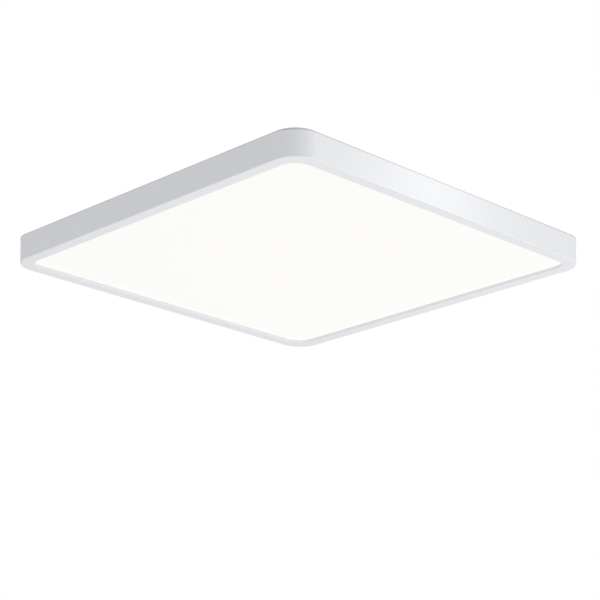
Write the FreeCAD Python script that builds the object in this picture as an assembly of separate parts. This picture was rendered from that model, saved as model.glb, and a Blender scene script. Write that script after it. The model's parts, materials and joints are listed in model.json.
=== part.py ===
import FreeCAD, Part
import math
import os

# Square flush mount ceiling light: an edge-lit panel in a moulded frame, closed by a sheet-steel back pan.
# Spring clips on the pan hold the lamp up on a bracket that is screwed to the ceiling.
# Millimetres. The origin is on the ceiling, at the middle of the bracket's screw slots, and +Z points up
# into the ceiling, so the lamp hangs below z = 0 with its sides along X and Y.

# Overall form
side = 400.0               # outer side of the frame at its top edge
drop = 27.0                # ceiling to the lower face of the rim
corner_radius = 26.0       # outer corner at the top edge
wall_lean = 0.9            # how far each wall leans in from top to bottom
wall = 2.2                 # frame wall
rim_width = 13.4           # flat border round the diffuser, at the top edge's scale
rim_thickness = 3.1        # the diffuser lies this far up inside the rim
opening_radius = 16.7      # corner of the opening that shows the diffuser
lower_edge_bevel = 0.6     # where the wall meets the rim
opening_chamfer = 0.5

# Fits
ceiling_gap = 0.5          # back pan to ceiling
slip = 0.1                 # laid-in and side-by-side pieces
screw_slip = 0.05          # round a screw or rivet in its hole
pin_slip = 0.05            # round a hinge pin
spring_gap = 0.3           # spring clip to bracket lip

# Light stack, from the rim upwards
diffuser_thickness = 1.5
guide_thickness = 3.0
reflector_thickness = 0.3
foam_thickness = 1.6
plate_thickness = 0.6
guide_edge = 8.5           # frame's outer face to the edge of the stack
guide_cut = 16.0           # corner cut of the stack, clear of the bosses and the wires
plate_cut = 21.0

# LED rails and strips, as distances in from the frame's outer face
rail_edge = 5.0
rail_leg = 1.5
rail_top = 1.2
rail_reach = 10.0
rail_end = 45.0            # rail end to the frame's outer face
strip_thickness = 1.0
strip_height = 6.2
strip_end = 17.0
led_length = 3.5
led_height = 2.8
led_depth = 0.7
led_pitch = 17.5
led_margin = 6.0           # strip end to the first LED
rail_screw_reach = 110.0   # screw to the middle of its rail

# Frame details
catch_pitch = 110.0
catch_width = 12.0
catch_arm = 1.6
catch_gap = 0.4            # wall to catch arm
catch_nose = 2.0
catch_nose_height = 2.4
catch_nose_face = 0.7      # upright face at the tip of the nose
rib_pitch = 36.0
rib_thickness = 1.4
rib_depth = 2.4
rib_height = 10.0
boss_radius = 2.6
boss_inset = 12.3          # corner boss to the frame's outer faces

# Back pan
pan_thickness = 0.6
pan_inset = 1.0            # frame's outer face to the pan's lip
pan_lip = 1.5              # height of the lip that shows above the frame
pan_corner = 22.0
pan_bend = 0.5             # bevel where the lip meets the back
recess_low_x = -75.0
recess_high_x = 125.0
recess_half_y = 50.0
recess_corner = 6.0
recess_bend = 2.0
recess_clearance = 2.3     # under the recess floor, above the inner plate
dimple_depth = 1.9
dimple_radius = 3.4
dimple_flare = 0.3
pan_screw_length = 8.0
bead_width = 8.0
bead_depth = 0.8
side_bead_length = 240.0
side_bead_inset = 50.0
bead_bevel = 2.4
pocket_bevel = 4.0
standoff_radius = 3.0
standoff_places = ((-90.0, 66.0), (112.0, 66.0), (-90.0, -66.0), (112.0, -66.0))

# Ceiling bracket
bracket_length = 130.0
bracket_half_width = 28.0
bracket_thickness = 1.2
bracket_bend = 1.0         # inner radius of its bends
bracket_clearance = 4.0    # lip to the recess floor
lip_width = 4.0
lip_corner = 3.0
slot_spacing = 78.0
slot_length = 20.0
slot_width = 5.0
cable_hole_radius = 12.0
bush_wall = 1.5
bush_flange = 2.5
bush_sides = 12
window_length = 26.0       # opening in each flange of the bracket
window_height = 3.4
bracket_earth_x = 57.5

# Spring clips
clip_pitch = 84.0
clip_width = 16.0
clip_thickness = 0.5
clip_bend = 0.8
clip_foot_end = 46.0
clip_standoff = 1.9        # lip edge to the clip's upright
clip_bite = 1.4            # how far the nose reaches over the lip
clip_slope = 0.75          # rise of the clip's nose for each millimetre inwards
clip_flare = 3.4
rivet_radius = 1.6
rivet_head_radius = 2.9
rivet_head = 0.8
rivet_tail_radius = 2.3

# Screws
shank_sides = 6            # small repeated pieces are prisms
head_sides = 8
head_taper = 0.75          # top of a screw or rivet head to its seat
screw_radius = 1.25
screw_head_radius = 2.7
screw_head = 1.6
earth_screw_radius = 2.0
earth_head_radius = 3.8
earth_head = 2.4

# Terminal box, at the +X end of the recess
box_low_x = 78.0
box_high_x = 117.0
box_half_y = 21.0
box_wall = 1.5
box_floor = 1.5
box_bevel = 1.5
box_screw_inset = 6.0
block_air = 0.7            # terminal block to the lid
entry_half_y = 6.5
notch_gap = 0.5            # mains lead to the side of its notch
lid_thickness = 1.4
lid_tab = 3.0
lid_tab_width = 14.0
ridge_count = 3
ridge_pitch = 3.0
ridge_width = 1.0
ridge_depth = 0.4
ridge_length = 20.0
ridge_start = 6.0          # free edge of the lid to the first ridge
hinge_radius = 1.7
hinge_pin_radius = 0.9
hinge_ear = 3.0
block_centre_x = 100.0
block_length = 14.0
block_height = 8.4
block_end = 1.0            # outer poles to the block's ends
tower_gap = 1.4
tower_step = 1.0           # wire axis to the valley between towers
tower_bevel = 1.0
pole_pitch = 8.0
pole_bore = 2.1
well_slip = 0.3
clamp_bore = 0.95
terminal_screw_radius = 1.5
terminal_screw_reach = 3.2 # middle of the block to each screw
terminal_screw_top = 3.2   # wire axis to the top of a screw
driver_slot_width = 0.5
driver_slot_depth = 0.7
saddle_x = 86.5
saddle_width = 5.0
saddle_thickness = 1.6
saddle_screw_y = 12.5
saddle_post_radius = 3.2
saddle_arch = 4.6          # half width of the arch over the house cable
saddle_rise = 2.2
saddle_bend = 0.3
saddle_slope = 1.4
saddle_screw_grip = 2.6    # screw length below the saddle

# Colour switch, in a pocket of the pan
switch_x = -105.0
switch_y = 30.0
pocket_length = 34.0
pocket_width = 16.0
pocket_depth = 4.0
switch_travel = 3.0        # either way from the middle position
knob_length = 4.0
knob_width = 3.2
knob_height = 3.2
switch_length = 20.0
switch_width = 8.0
switch_height = 5.0
slider_length = 9.8
slider_width = 5.4
slider_thickness = 1.0
switch_ear = 3.8
switch_ear_thickness = 1.0
switch_bevel = 0.5
switch_pin_width = 0.8
switch_pin_length = 3.0
switch_pin_height = 1.0
switch_lead_rise = 1.2     # underside of the switch to its leads
switch_rivet_head = 2.1
knob_groove = 0.5          # width and depth of the grooves across the knob
knob_groove_pitch = 1.0

# Driver
driver_x = -15.0
driver_y = 105.0
driver_length = 120.0
driver_width = 44.0
driver_wall = 1.2
driver_corner = 3.0
driver_air = 1.2           # driver lid to the back pan
driver_lid_rim = 2.0
driver_lid_rim_wall = 1.0
driver_lid_bevel = 0.6
driver_ear = 9.0
driver_ear_width = 12.0
driver_ear_thickness = 2.0
vent_pitch = 22.0
vent_width = 2.0
vent_length = 12.0
vent_row = 10.0            # middle of the lid to the middle of each row
board_thickness = 1.2
board_post = 1.5
board_post_radius = 2.4
board_post_inset_x = 9.0
board_post_inset_y = 8.0
board_gap = 1.0
part_air = 0.5             # tallest component to the lid
transformer_x = -14.0      # places on the board are from the middle of the driver
core_length = 18.0
core_width = 16.0
core_limb = 5.0
core_yoke = 3.0
winding_margin = 1.0       # core's lower and upper faces to the winding
can_sides = 8
can_bevel = 0.4
can_groove = 2.5           # can's end to the middle of its rolled groove
can_groove_width = 1.0
long_can_place = (20.0, 12.0)
long_can_length = 18.0
short_can_place = (-52.0, -4.0)
short_can_length = 15.0
film_place = (34.0, -13.0)
film_size = (13.0, 6.0)
film_bevel = 0.8
film_share = 0.85          # height of the film capacitor, of the room over the board
choke_place = (12.0, -11.0)
choke_share = 0.9
choke_radius = 4.5
choke_waist = 3.6
choke_flange = 1.2
bridge_place = (46.0, -10.0)
bridge_size = (6.0, 5.0, 2.6)
chip_place = (-34.0, -13.0)
chip_size = (6.5, 5.0, 1.8)
chip_bevel = 0.5

# Leads
mains_radius = 1.1
fine_radius = 0.6
fine_sides = 5
core_share = 0.6           # bare core of a lead, of its outer radius
bend_share = 0.45          # reach of a lead's bend, of the shorter run beside it
gentle_turn = 25.0         # a lead's corner that turns less than this has no chord
lead_spacing = 4.5
lead_straight = 5.0        # terminal block to the first bend
lead_cross = 7.0           # length in which the leads draw together
lead_exit = 9.5            # recess wall to the bend after the grommet
fine_spacing = 3.0
led_lead_offset = 2.0      # middle of the driver to its first thin lead
pad_spacing = 2.2
pad_inset = 5.0            # strip end to the nearer solder pad
pad_depth = 2.8            # top of the strip to the pads
wire_stand = 2.2           # strip face to the wires that stand beside it
switch_lead_inset = 12.0   # side of the driver to the middle switch lead
jumper_rise = 1.5          # inner plate to the lower wire of a jumper
jumper_step = 1.5          # lower wire to the upper one
grommet_wall = 1.3
grommet_flange = 1.6
grommet_lip = 1.2
grommet_cut = 0.3          # corner cut of the grommet's oval, of its height
earth_reach = 26.0         # recess wall to the earth screw
earth_y = -58.0
lug_thickness = 0.6
lug_eye = 4.0
lug_neck = 3.2
lug_neck_length = 5.0
lug_barrel = 3.6
lug_barrel_wall = 0.5
lug_barrel_start = 4.4     # earth screw to the barrel

# Heights that follow from the sizes above
rim_z = -drop
diffuser_z = rim_z + rim_thickness
guide_z = diffuser_z + diffuser_thickness
reflector_z = guide_z + guide_thickness
foam_z = reflector_z + reflector_thickness
plate_z = foam_z + foam_thickness
plate_top = plate_z + plate_thickness
rail_z = plate_top + rail_top
pan_top = -ceiling_gap
pan_under = pan_top - pan_thickness
frame_top = pan_top - pan_lip
recess_floor = plate_top + recess_clearance + pan_thickness
dimple_floor = pan_top - dimple_depth
lip_bottom = recess_floor + bracket_clearance
lip_top = lip_bottom + bracket_thickness
box_top = recess_floor + box_floor + block_height + block_air
lead_z = recess_floor + box_floor + block_height / 2
block_start = block_centre_x - block_length / 2
half = side / 2
boss_place = half - boss_inset
lip_edge = bracket_half_width + lip_width
strip_face = half - rail_edge - rail_leg - strip_thickness
grommet_reach = mains_radius + slip + grommet_wall + grommet_lip
pad_z = plate_z - pad_depth
switch_leads_y = driver_y - driver_width / 2 + switch_lead_inset
led_leads_z = (plate_top + pan_under) / 2

V = FreeCAD.Vector
UP = V(0, 0, 1)
ALONG_X = V(1, 0, 0)
ALONG_Y = V(0, 1, 0)
past = 1.0                 # how far a cut or a joined root runs past a face
close = 1e-4               # lengths below this count as none
SIDES = {"front": 0, "right": 90, "back": 180, "left": 270}
CORNERS = ((1, -1), (1, 1), (-1, 1), (-1, -1))


# Paths, sections and plain solids

def corner_arc(before, corner, after, radius):
    """Start, middle and end of the tangent arc that rounds a corner."""
    back = (before - corner).normalize()
    ahead = (after - corner).normalize()
    half_angle = back.getAngle(ahead) / 2
    reach = radius / math.tan(half_angle)
    inward = (back + ahead).normalize()
    centre = corner + inward * (radius / math.sin(half_angle))
    return corner + back * reach, centre - inward * radius, corner + ahead * reach


def rounded_wire(points, radius):
    """Closed wire of straight runs through the points, with the same tangent arc at every corner."""
    count = len(points)
    arcs = [corner_arc(points[i - 1], points[i], points[(i + 1) % count], radius) for i in range(count)]
    edges = []
    for i, (start, middle, end) in enumerate(arcs):
        edges.append(Part.LineSegment(arcs[i - 1][2], start).toShape())
        edges.append(Part.Arc(start, middle, end).toShape())
    return Part.Wire(edges)


def outline(size_x, size_y, radius, z, centre=(0.0, 0.0)):
    """Rectangle with rounded corners at height z."""
    x = size_x / 2
    y = size_y / 2
    corners = [V(centre[0] + sx * x, centre[1] + sy * y, z) for sx, sy in CORNERS]
    return rounded_wire(corners, radius)


def slab(size_x, size_y, radius, low, high, centre=(0.0, 0.0)):
    """Upright block with rounded corners between two heights."""
    return Part.Face(outline(size_x, size_y, radius, low, centre)).extrude(UP * (high - low))


def box(low_x, high_x, low_y, high_y, low_z, high_z):
    return Part.makeBox(high_x - low_x, high_y - low_y, high_z - low_z, V(low_x, low_y, low_z))


def drum(radius, x, y, low, high):
    return Part.makeCylinder(radius, high - low, V(x, y, low))


def prism(sides, radius, x, y, low, high):
    """Upright prism on a regular polygon whose corners lie on the radius."""
    return section(polygon(sides, radius, x, y, low)).extrude(UP * (high - low))


def polygon(sides, radius, x, y, z):
    turns = [2 * math.pi * (i + 0.5) / sides for i in range(sides)]
    return [V(x + radius * math.cos(t), y + radius * math.sin(t), z) for t in turns]


def stacked(sides, levels, x, y):
    """Solid through polygons of one centre, given as pairs of radius and height from the lowest up."""
    rings = [polygon(sides, radius, x, y, z) for radius, z in levels]
    faces = [section(rings[0]), section(rings[-1])]
    for low, high in zip(rings, rings[1:]):
        faces += [section([low[i - 1], low[i], high[i], high[i - 1]]) for i in range(sides)]
    shell = Part.Shell(faces)
    shell.sewShape()
    return Part.Solid(shell)


def bar(sides, radius, start, length, y, z):
    """Prism that lies along X."""
    lying = prism(sides, radius, 0, 0, 0, length)
    lying.rotate(V(0, 0, 0), ALONG_Y, 90)
    lying.translate(V(start, y, z))
    return lying


def bevelled(size_x, size_y, cut, low, high, centre=(0.0, 0.0)):
    """Upright block whose corners are cut off at 45 degrees."""
    x = size_x / 2
    y = size_y / 2
    quarter = [(x, y - cut), (x - cut, y)]
    points = quarter + [(-px, py) for px, py in quarter[::-1]]
    points += [(-px, -py) for px, py in points]
    return section([V(centre[0] + px, centre[1] + py, low) for px, py in points]).extrude(UP * (high - low))


def section(points):
    """Closed face through corner points that lie in one plane."""
    return Part.Face(Part.makePolygon(points + points[:1]))


def bent_strip(points, inner_radius, thickness, normal):
    """Section of a bent sheet: one face follows the points, the other lies to their right, seen along
    the normal. Two chords stand for the arc of each bend."""
    runs = [(b - a).normalize() for a, b in zip(points, points[1:])]
    rights = [run.cross(normal) for run in runs]
    far = [points[0] + rights[0] * thickness]
    near_radii = [0.0]
    far_radii = [0.0]
    for i in range(1, len(points) - 1):
        both = (rights[i - 1] + rights[i]).normalize()
        far.append(points[i] + both * (thickness / both.dot(rights[i])))
        turns_right = rights[i - 1].dot(runs[i]) > 0
        near_radii.append(inner_radius + thickness if turns_right else inner_radius)
        far_radii.append(inner_radius if turns_right else inner_radius + thickness)
    far.append(points[-1] + rights[-1] * thickness)
    near_radii.append(0.0)
    far_radii.append(0.0)
    return section(chorded(points, near_radii) + chorded(far, far_radii)[::-1])


def chorded(points, radii):
    """The points, with each one that has a radius replaced by three on its tangent arc."""
    stops = []
    for i, point in enumerate(points):
        stops += corner_arc(points[i - 1], point, points[i + 1], radii[i]) if radii[i] > 0 else [point]
    return stops


def edges_at(shape, z):
    """Edges that lie wholly at height z."""
    return [e for e in shape.Edges if abs(e.BoundBox.ZMin - z) < close and abs(e.BoundBox.ZMax - z) < close]


def fused(shapes):
    first = shapes[0]
    return first.multiFuse(shapes[1:]).removeSplitter()


def turned(shape, degrees):
    copy = shape.copy()
    copy.rotate(V(0, 0, 0), UP, degrees)
    return copy


def spaced(pitch, half_span):
    """Places symmetrical about 0, a pitch apart, within the half span."""
    count = int(half_span // pitch)
    return [i * pitch for i in range(-count, count + 1)]


def headed_pin(x, y, seat, shank_radius, head_radius, head_height, length):
    """Upright screw or rivet: its tapered head sits on the seat and its shank goes down."""
    shank = prism(shank_sides, shank_radius, x, y, seat - length, seat)
    head = stacked(head_sides, [(head_radius, seat), (head_radius * head_taper, seat + head_height)], x, y)
    return shank.fuse(head)


def screw_hole(x, y, low, high, radius=screw_radius):
    """Hole that a screw or rivet goes through."""
    return prism(shank_sides, radius + screw_slip, x, y, low, high)


def tube(points, radius, sides, name):
    """Faceted lead along straight runs, with a chord across the tangent arc of each corner that isn't
    gentle. Prints the tightest arc and the lead's volume against its section times its length."""
    stops = [points[0]]
    radii = []
    for i in range(1, len(points) - 1):
        back = points[i - 1] - points[i]
        ahead = points[i + 1] - points[i]
        angle = back.getAngle(ahead)
        radii.append(bend_share * min(back.Length, ahead.Length) * math.tan(angle / 2))
        arc = corner_arc(points[i - 1], points[i], points[i + 1], radii[-1])
        gentle = math.pi - angle < math.radians(gentle_turn)
        stops += [points[i]] if gentle else [arc[0], arc[2]]
    stops.append(points[-1])
    path = Part.makePolygon(stops)
    ahead = (points[1] - points[0]).normalize()
    across = ahead.cross(UP).normalize() * radius
    over = ahead.cross(across)
    turns = [2 * math.pi * i / sides for i in range(sides)]
    corners = [points[0] + across * math.cos(t) + over * math.sin(t) for t in turns]
    ring = Part.makePolygon(corners + corners[:1])
    lead = path.makePipeShell([ring], True, False, 1)
    share = lead.Volume / (Part.Face(ring).Area * path.Length)
    print(f"{name}: length {path.Length:.1f}, tightest bend {min(radii):.1f}, volume ratio {share:.4f}")
    return lead


# Frame and light stack

def make_frame():
    """One-piece moulding: leaning walls, flat rim, and inside it bosses, ribs and snap catches."""
    bottom_side = side - 2 * wall_lean
    bottom = outline(bottom_side, bottom_side, corner_radius - wall_lean, rim_z)
    top = outline(side, side, corner_radius, frame_top)
    block = Part.makeLoft([bottom, top], True, True)
    block = block.makeChamfer(lower_edge_bevel, edges_at(block, rim_z))
    inner = side - 2 * wall
    cavity = slab(inner, inner, corner_radius - wall, diffuser_z, 0)
    clear = side - 2 * rim_width
    opening = slab(clear, clear, opening_radius, rim_z - past, diffuser_z + past)
    wide = clear + 2 * opening_chamfer
    mouth = Part.makeLoft([
        outline(wide, wide, opening_radius + opening_chamfer, rim_z),
        outline(clear, clear, opening_radius, rim_z + opening_chamfer),
    ], True, True)
    shell = block.cut(cavity).cut(opening).cut(mouth)
    details = [turned(piece, angle) for angle in SIDES.values() for piece in frame_side_details()]
    frame = fused([shell] + details)
    for x, y in corner_places():
        frame = frame.cut(screw_hole(x, y, diffuser_z + wall, 0))
    return frame


def frame_side_details():
    """Catches and ribs of the front side, with the boss of its right corner."""
    details = []
    catches = spaced(catch_pitch, half - rail_end)
    for x in catches:
        details.append(snap_catch(x))
    for x in spaced(rib_pitch, half - corner_radius):
        if all(abs(x - place) > (catch_width + rib_thickness) / 2 + past for place in catches):
            details.append(wall_rib(x))
    details.append(corner_boss())
    return details


def snap_catch(x):
    """Springy arm that rises beside the wall and hooks over the LED rail."""
    outer = -half + wall + catch_gap
    inner = outer + catch_arm
    hook = rail_z + slip
    points = [
        V(0, outer, diffuser_z - slip),
        V(0, inner, diffuser_z - slip),
        V(0, inner, hook),
        V(0, inner + catch_nose, hook),
        V(0, inner + catch_nose, hook + catch_nose_face),
        V(0, inner, hook + catch_nose_height),
        V(0, outer, hook + catch_nose_height),
    ]
    arm = section(points).extrude(ALONG_X * catch_width)
    arm.translate(V(x - catch_width / 2, 0, 0))
    return arm


def wall_rib(x):
    """Triangular gusset between wall and rim."""
    root = -half + wall - slip
    points = [
        V(0, root, diffuser_z - slip),
        V(0, root + rib_depth, diffuser_z - slip),
        V(0, root + slip, diffuser_z + rib_height),
        V(0, root, diffuser_z + rib_height),
    ]
    rib = section(points).extrude(ALONG_X * rib_thickness)
    rib.translate(V(x - rib_thickness / 2, 0, 0))
    return rib


def corner_boss():
    """Screw boss in the front right corner, tied to the wall by a web."""
    boss_top = dimple_floor - pan_thickness
    boss = prism(head_sides, boss_radius, boss_place, -boss_place, diffuser_z - slip, boss_top)
    web = box(0, boss_inset, -rib_thickness / 2, rib_thickness / 2, diffuser_z - slip, frame_top - wall)
    web.rotate(V(0, 0, 0), UP, -45)
    web.translate(V(boss_place, -boss_place, 0))
    inner = side - 2 * wall + 2 * slip
    kept = slab(inner, inner, corner_radius - wall + slip, diffuser_z - slip, 0)
    return boss.fuse(web.common(kept))


def corner_places():
    return [(sx * boss_place, sy * boss_place) for sx, sy in CORNERS]


def stack_sheet(shrink, low, thickness):
    """Sheet of the light stack, a little smaller than the light guide."""
    size = side - 2 * (guide_edge + shrink)
    return bevelled(size, size, guide_cut - shrink, low, low + thickness)


def make_inner_plate():
    """Plate over the stack, with holes for the rails, the standoffs, the driver and the earth screw."""
    size = side - 2 * (rail_edge + rail_leg + slip)
    plate = bevelled(size, size, plate_cut, plate_z, plate_top)
    holes = [screw_hole(x, y, plate_z, plate_top) for x, y in standoff_places]
    holes += [screw_hole(x, driver_y, plate_z, plate_top) for x in driver_screw_places()]
    for angle in SIDES.values():
        holes += [turned(screw_hole(x, y, plate_z, plate_top), angle) for x, y in rail_screw_places()]
    holes.append(screw_hole(*earth_place(), plate_z, plate_top, earth_screw_radius))
    return plate.cut(Part.makeCompound(holes))


def rail_screw_places():
    """Screws of the front rail, through its flat leg."""
    y = -half + rail_edge + rail_leg + (rail_reach - rail_leg) / 2
    return [(x, y) for x in (-rail_screw_reach, rail_screw_reach)]


def make_rail():
    """Aluminium angle of the front side: the upright leg carries the strip, the other lies on the plate."""
    outer = -half + rail_edge
    inner = outer + rail_leg
    foot = diffuser_z + slip
    points = [
        V(0, outer, foot),
        V(0, inner, foot),
        V(0, inner, plate_top),
        V(0, outer + rail_reach, plate_top),
        V(0, outer + rail_reach, rail_z),
        V(0, outer, rail_z),
    ]
    rail = section(points).extrude(ALONG_X * (side - 2 * rail_end))
    rail.translate(V(-half + rail_end, 0, 0))
    for x, y in rail_screw_places():
        rail = rail.cut(screw_hole(x, y, plate_top, rail_z))
    return rail


def make_strip():
    """Board of the front side, flat against its rail."""
    outer = -half + rail_edge + rail_leg
    high = plate_z - slip
    reach = half - strip_end
    return box(-reach, reach, outer, outer + strip_thickness, high - strip_height, high)


def make_leds():
    """LEDs of the front strip, facing the edge of the light guide."""
    face = -half + rail_edge + rail_leg + strip_thickness
    middle = guide_z + guide_thickness / 2
    places = spaced(led_pitch, half - strip_end - led_margin)
    return Part.makeCompound([
        box(x - led_length / 2, x + led_length / 2, face, face + led_depth,
            middle - led_height / 2, middle + led_height / 2)
        for x in places
    ])


def make_rail_screws():
    screws = []
    for angle in SIDES.values():
        for x, y in rail_screw_places():
            screws.append(turned(rail_screw(x, y), angle))
    return Part.makeCompound(screws)


def rail_screw(x, y):
    return headed_pin(x, y, rail_z, screw_radius, screw_head_radius, screw_head, rail_top + plate_thickness)


# Back pan and what is fixed to it

def pan_dimple(x, y):
    """Drawn dimple for a screw head: the added metal below the pan and the hollow above it."""
    wide = dimple_radius + dimple_flare
    low = dimple_floor - pan_thickness
    levels = [(dimple_radius + pan_thickness, low), (wide + pan_thickness, pan_under)]
    hollow = stacked(head_sides, [(dimple_radius, dimple_floor), (wide, pan_top)], x, y)
    return stacked(head_sides, levels, x, y), hollow.fuse(screw_hole(x, y, low, dimple_floor))


def pan_bead(length, x, y, angle):
    """Pressed stiffening bead: the added metal below the pan and the groove above it."""
    metal = bevelled(length, bead_width, bead_bevel, pan_under - bead_depth, pan_under)
    groove = bevelled(length - 2 * pan_thickness, bead_width - 2 * pan_thickness, bead_bevel - pan_thickness,
                      pan_top - bead_depth, pan_top)
    for shape in (metal, groove):
        shape.rotate(V(0, 0, 0), UP, angle)
        shape.translate(V(x, y, 0))
    return metal, groove


def bead_forms():
    """One bead beside each side of the pan."""
    beside = half - side_bead_inset
    return [pan_bead(side_bead_length, 0, -beside, 0), pan_bead(side_bead_length, 0, beside, 0),
            pan_bead(side_bead_length, -beside, 0, 90), pan_bead(side_bead_length, beside, 0, 90)]


def recess_form():
    """Drawn recess for the bracket: the metal round it and the hollow inside it. The bend at its floor
    ends below the grommet's flange."""
    centre = ((recess_low_x + recess_high_x) / 2, 0.0)
    length = recess_high_x - recess_low_x
    metal = bevelled(length + 2 * pan_thickness, 2 * (recess_half_y + pan_thickness), recess_corner,
                     recess_floor - pan_thickness, pan_under, centre)
    bend = min(recess_bend, lead_z - grommet_reach - recess_floor)
    metal = metal.makeChamfer(bend, edges_at(metal, recess_floor - pan_thickness))
    hollow = bevelled(length, 2 * recess_half_y, recess_corner, recess_floor, 0, centre)
    hollow = hollow.makeChamfer(bend, edges_at(hollow, recess_floor))
    return metal, hollow


def pocket_form():
    """Shallow drawn pocket for the switch."""
    centre = (switch_x, switch_y)
    metal = bevelled(pocket_length + 2 * pan_thickness, pocket_width + 2 * pan_thickness, pocket_bevel,
                     switch_top(), pan_under, centre)
    return metal, bevelled(pocket_length, pocket_width, pocket_bevel, pan_top - pocket_depth, 0, centre)


def make_back_pan():
    """Sheet-steel back: a lip that stands on the frame, a deep recess for the bracket, a pocket for the
    switch, dimples for the screws and stiffening beads."""
    pan_side = side - 2 * pan_inset
    pan = slab(pan_side, pan_side, pan_corner, frame_top, pan_top)
    pan = pan.makeChamfer(pan_bend, edges_at(pan, pan_top))
    inside = pan_side - 2 * pan_thickness
    pan = pan.cut(slab(inside, inside, pan_corner - pan_thickness, frame_top, pan_under))
    forms = [recess_form(), pocket_form()]
    forms += [pan_dimple(x, y) for x, y in corner_places() + list(standoff_places)]
    forms += bead_forms()
    pan = pan.multiFuse([metal for metal, hollow in forms])
    pan = pan.cut(Part.makeCompound([hollow for metal, hollow in forms] + pan_holes()))
    return pan.removeSplitter()


def pan_holes():
    """Holes for rivets, box screws, the lead grommet and the switch."""
    low = recess_floor - pan_thickness - past
    high = recess_floor + past
    holes = [screw_hole(x, y, low, high, rivet_radius) for x, y in rivet_places()]
    holes += [screw_hole(x, y, low, high) for x, y in box_screw_places()]
    wall_end = recess_high_x + pan_thickness + past
    holes.append(grommet_core(recess_high_x - past, wall_end, grommet_wall + slip))
    pocket_low = switch_top() - past
    reach = knob_length / 2 + switch_travel + 2 * slip
    holes.append(box(switch_x - reach, switch_x + reach, switch_y - knob_width / 2 - slip,
                     switch_y + knob_width / 2 + slip, pocket_low, pan_top))
    holes += [screw_hole(x, switch_y, pocket_low, pan_top) for x in switch_rivet_places()]
    return holes


def make_standoffs():
    """Hexagonal spacers between the inner plate and the back pan."""
    posts = []
    for x, y in standoff_places:
        post = prism(shank_sides, standoff_radius, x, y, plate_top, dimple_floor - pan_thickness)
        posts.append(post.cut(screw_hole(x, y, plate_top, 0)))
    return Part.makeCompound(posts)


def make_pan_screws():
    return Part.makeCompound([
        headed_pin(x, y, dimple_floor, screw_radius, screw_head_radius, screw_head - slip, pan_screw_length)
        for x, y in corner_places() + list(standoff_places)
    ])


# Spring clips

def clip_places():
    """Centre of each clip along X, and which side of the bracket it grips."""
    return {
        "front_left": (-clip_pitch / 2, -1),
        "front_right": (clip_pitch / 2, -1),
        "back_left": (-clip_pitch / 2, 1),
        "back_right": (clip_pitch / 2, 1),
    }


def rivet_places():
    y = (lip_edge + clip_standoff + clip_foot_end) / 2 + clip_bend
    return [(x, sy * y) for x, sy in clip_places().values()]


def make_clip(x, sign):
    """Leaf spring: a riveted foot, an upright, a nose that bites over the lip, and a flared lead-in."""
    upright = lip_edge + clip_standoff
    nose = lip_edge - clip_bite
    catch = lip_top + spring_gap
    shoulder = catch - clip_standoff * clip_slope
    tip = catch + clip_bite * clip_slope
    points = [
        V(0, clip_foot_end, recess_floor + clip_thickness),
        V(0, upright + clip_thickness, recess_floor + clip_thickness),
        V(0, upright + clip_thickness, shoulder + clip_thickness),
        V(0, nose + clip_thickness, tip + clip_thickness),
        V(0, nose + clip_flare + clip_thickness, tip + clip_flare),
    ]
    leaf = bent_strip(points, clip_bend, clip_thickness, V(-1, 0, 0))
    clip = leaf.extrude(ALONG_X * clip_width)
    clip.translate(V(-clip_width / 2, 0, 0))
    rivet_y = (upright + clip_foot_end) / 2 + clip_bend
    clip = clip.cut(screw_hole(0, rivet_y, recess_floor, recess_floor + clip_thickness, rivet_radius))
    if sign < 0:
        clip.rotate(V(0, 0, 0), UP, 180)
    clip.translate(V(x, 0, 0))
    return clip


def make_rivets():
    seat = recess_floor + clip_thickness
    low = recess_floor - pan_thickness
    rivets = []
    for x, y in rivet_places():
        rivet = headed_pin(x, y, seat, rivet_radius, rivet_head_radius, rivet_head, seat - low)
        tail = prism(shank_sides, rivet_tail_radius, x, y, low - rivet_head, low)
        rivets.append(rivet.fuse(tail))
    return Part.makeCompound(rivets)


# Ceiling bracket

def make_bracket():
    """Formed steel hat channel: web against the ceiling, flanges down, lips turned out for the clips."""
    points = [
        V(0, -lip_edge, lip_top),
        V(0, -bracket_half_width, lip_top),
        V(0, -bracket_half_width, 0),
        V(0, bracket_half_width, 0),
        V(0, bracket_half_width, lip_top),
        V(0, lip_edge, lip_top),
    ]
    channel = bent_strip(points, bracket_bend, bracket_thickness, ALONG_X).extrude(ALONG_X * bracket_length)
    channel.translate(V(-bracket_length / 2, 0, 0))
    upright = [e for e in channel.Edges if is_lip_corner(e)]
    channel = channel.makeFillet(lip_corner, upright)
    web_low = -bracket_thickness - past
    cuts = [slot_cut(sx * slot_spacing / 2) for sx in (-1, 1)]
    cuts.append(drum(cable_hole_radius, 0, 0, web_low, past))
    cuts.append(screw_hole(bracket_earth_x, 0, web_low, past, earth_screw_radius))
    middle = (lip_top - bracket_thickness) / 2
    for sx in (-1, 1):
        window = box(-window_length / 2, window_length / 2, -half, half, middle - window_height / 2,
                     middle + window_height / 2)
        window.translate(V(sx * clip_pitch / 2, 0, 0))
        cuts.append(window)
    return channel.cut(Part.makeCompound(cuts))


def is_lip_corner(edge):
    """True for the short upright edges at the outer corners of the lips."""
    bounds = edge.BoundBox
    upright = bounds.XLength < close and bounds.YLength < close
    return upright and abs(abs(bounds.YMin) - lip_edge) < close


def slot_cut(x):
    """Round-ended slot along X, through the web."""
    reach = (slot_length - slot_width) / 2
    low = -bracket_thickness - past
    ends = [drum(slot_width / 2, x + s * reach, 0, low, past) for s in (-1, 1)]
    middle = box(x - reach, x + reach, -slot_width / 2, slot_width / 2, low, past)
    return fused([middle] + ends)


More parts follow.
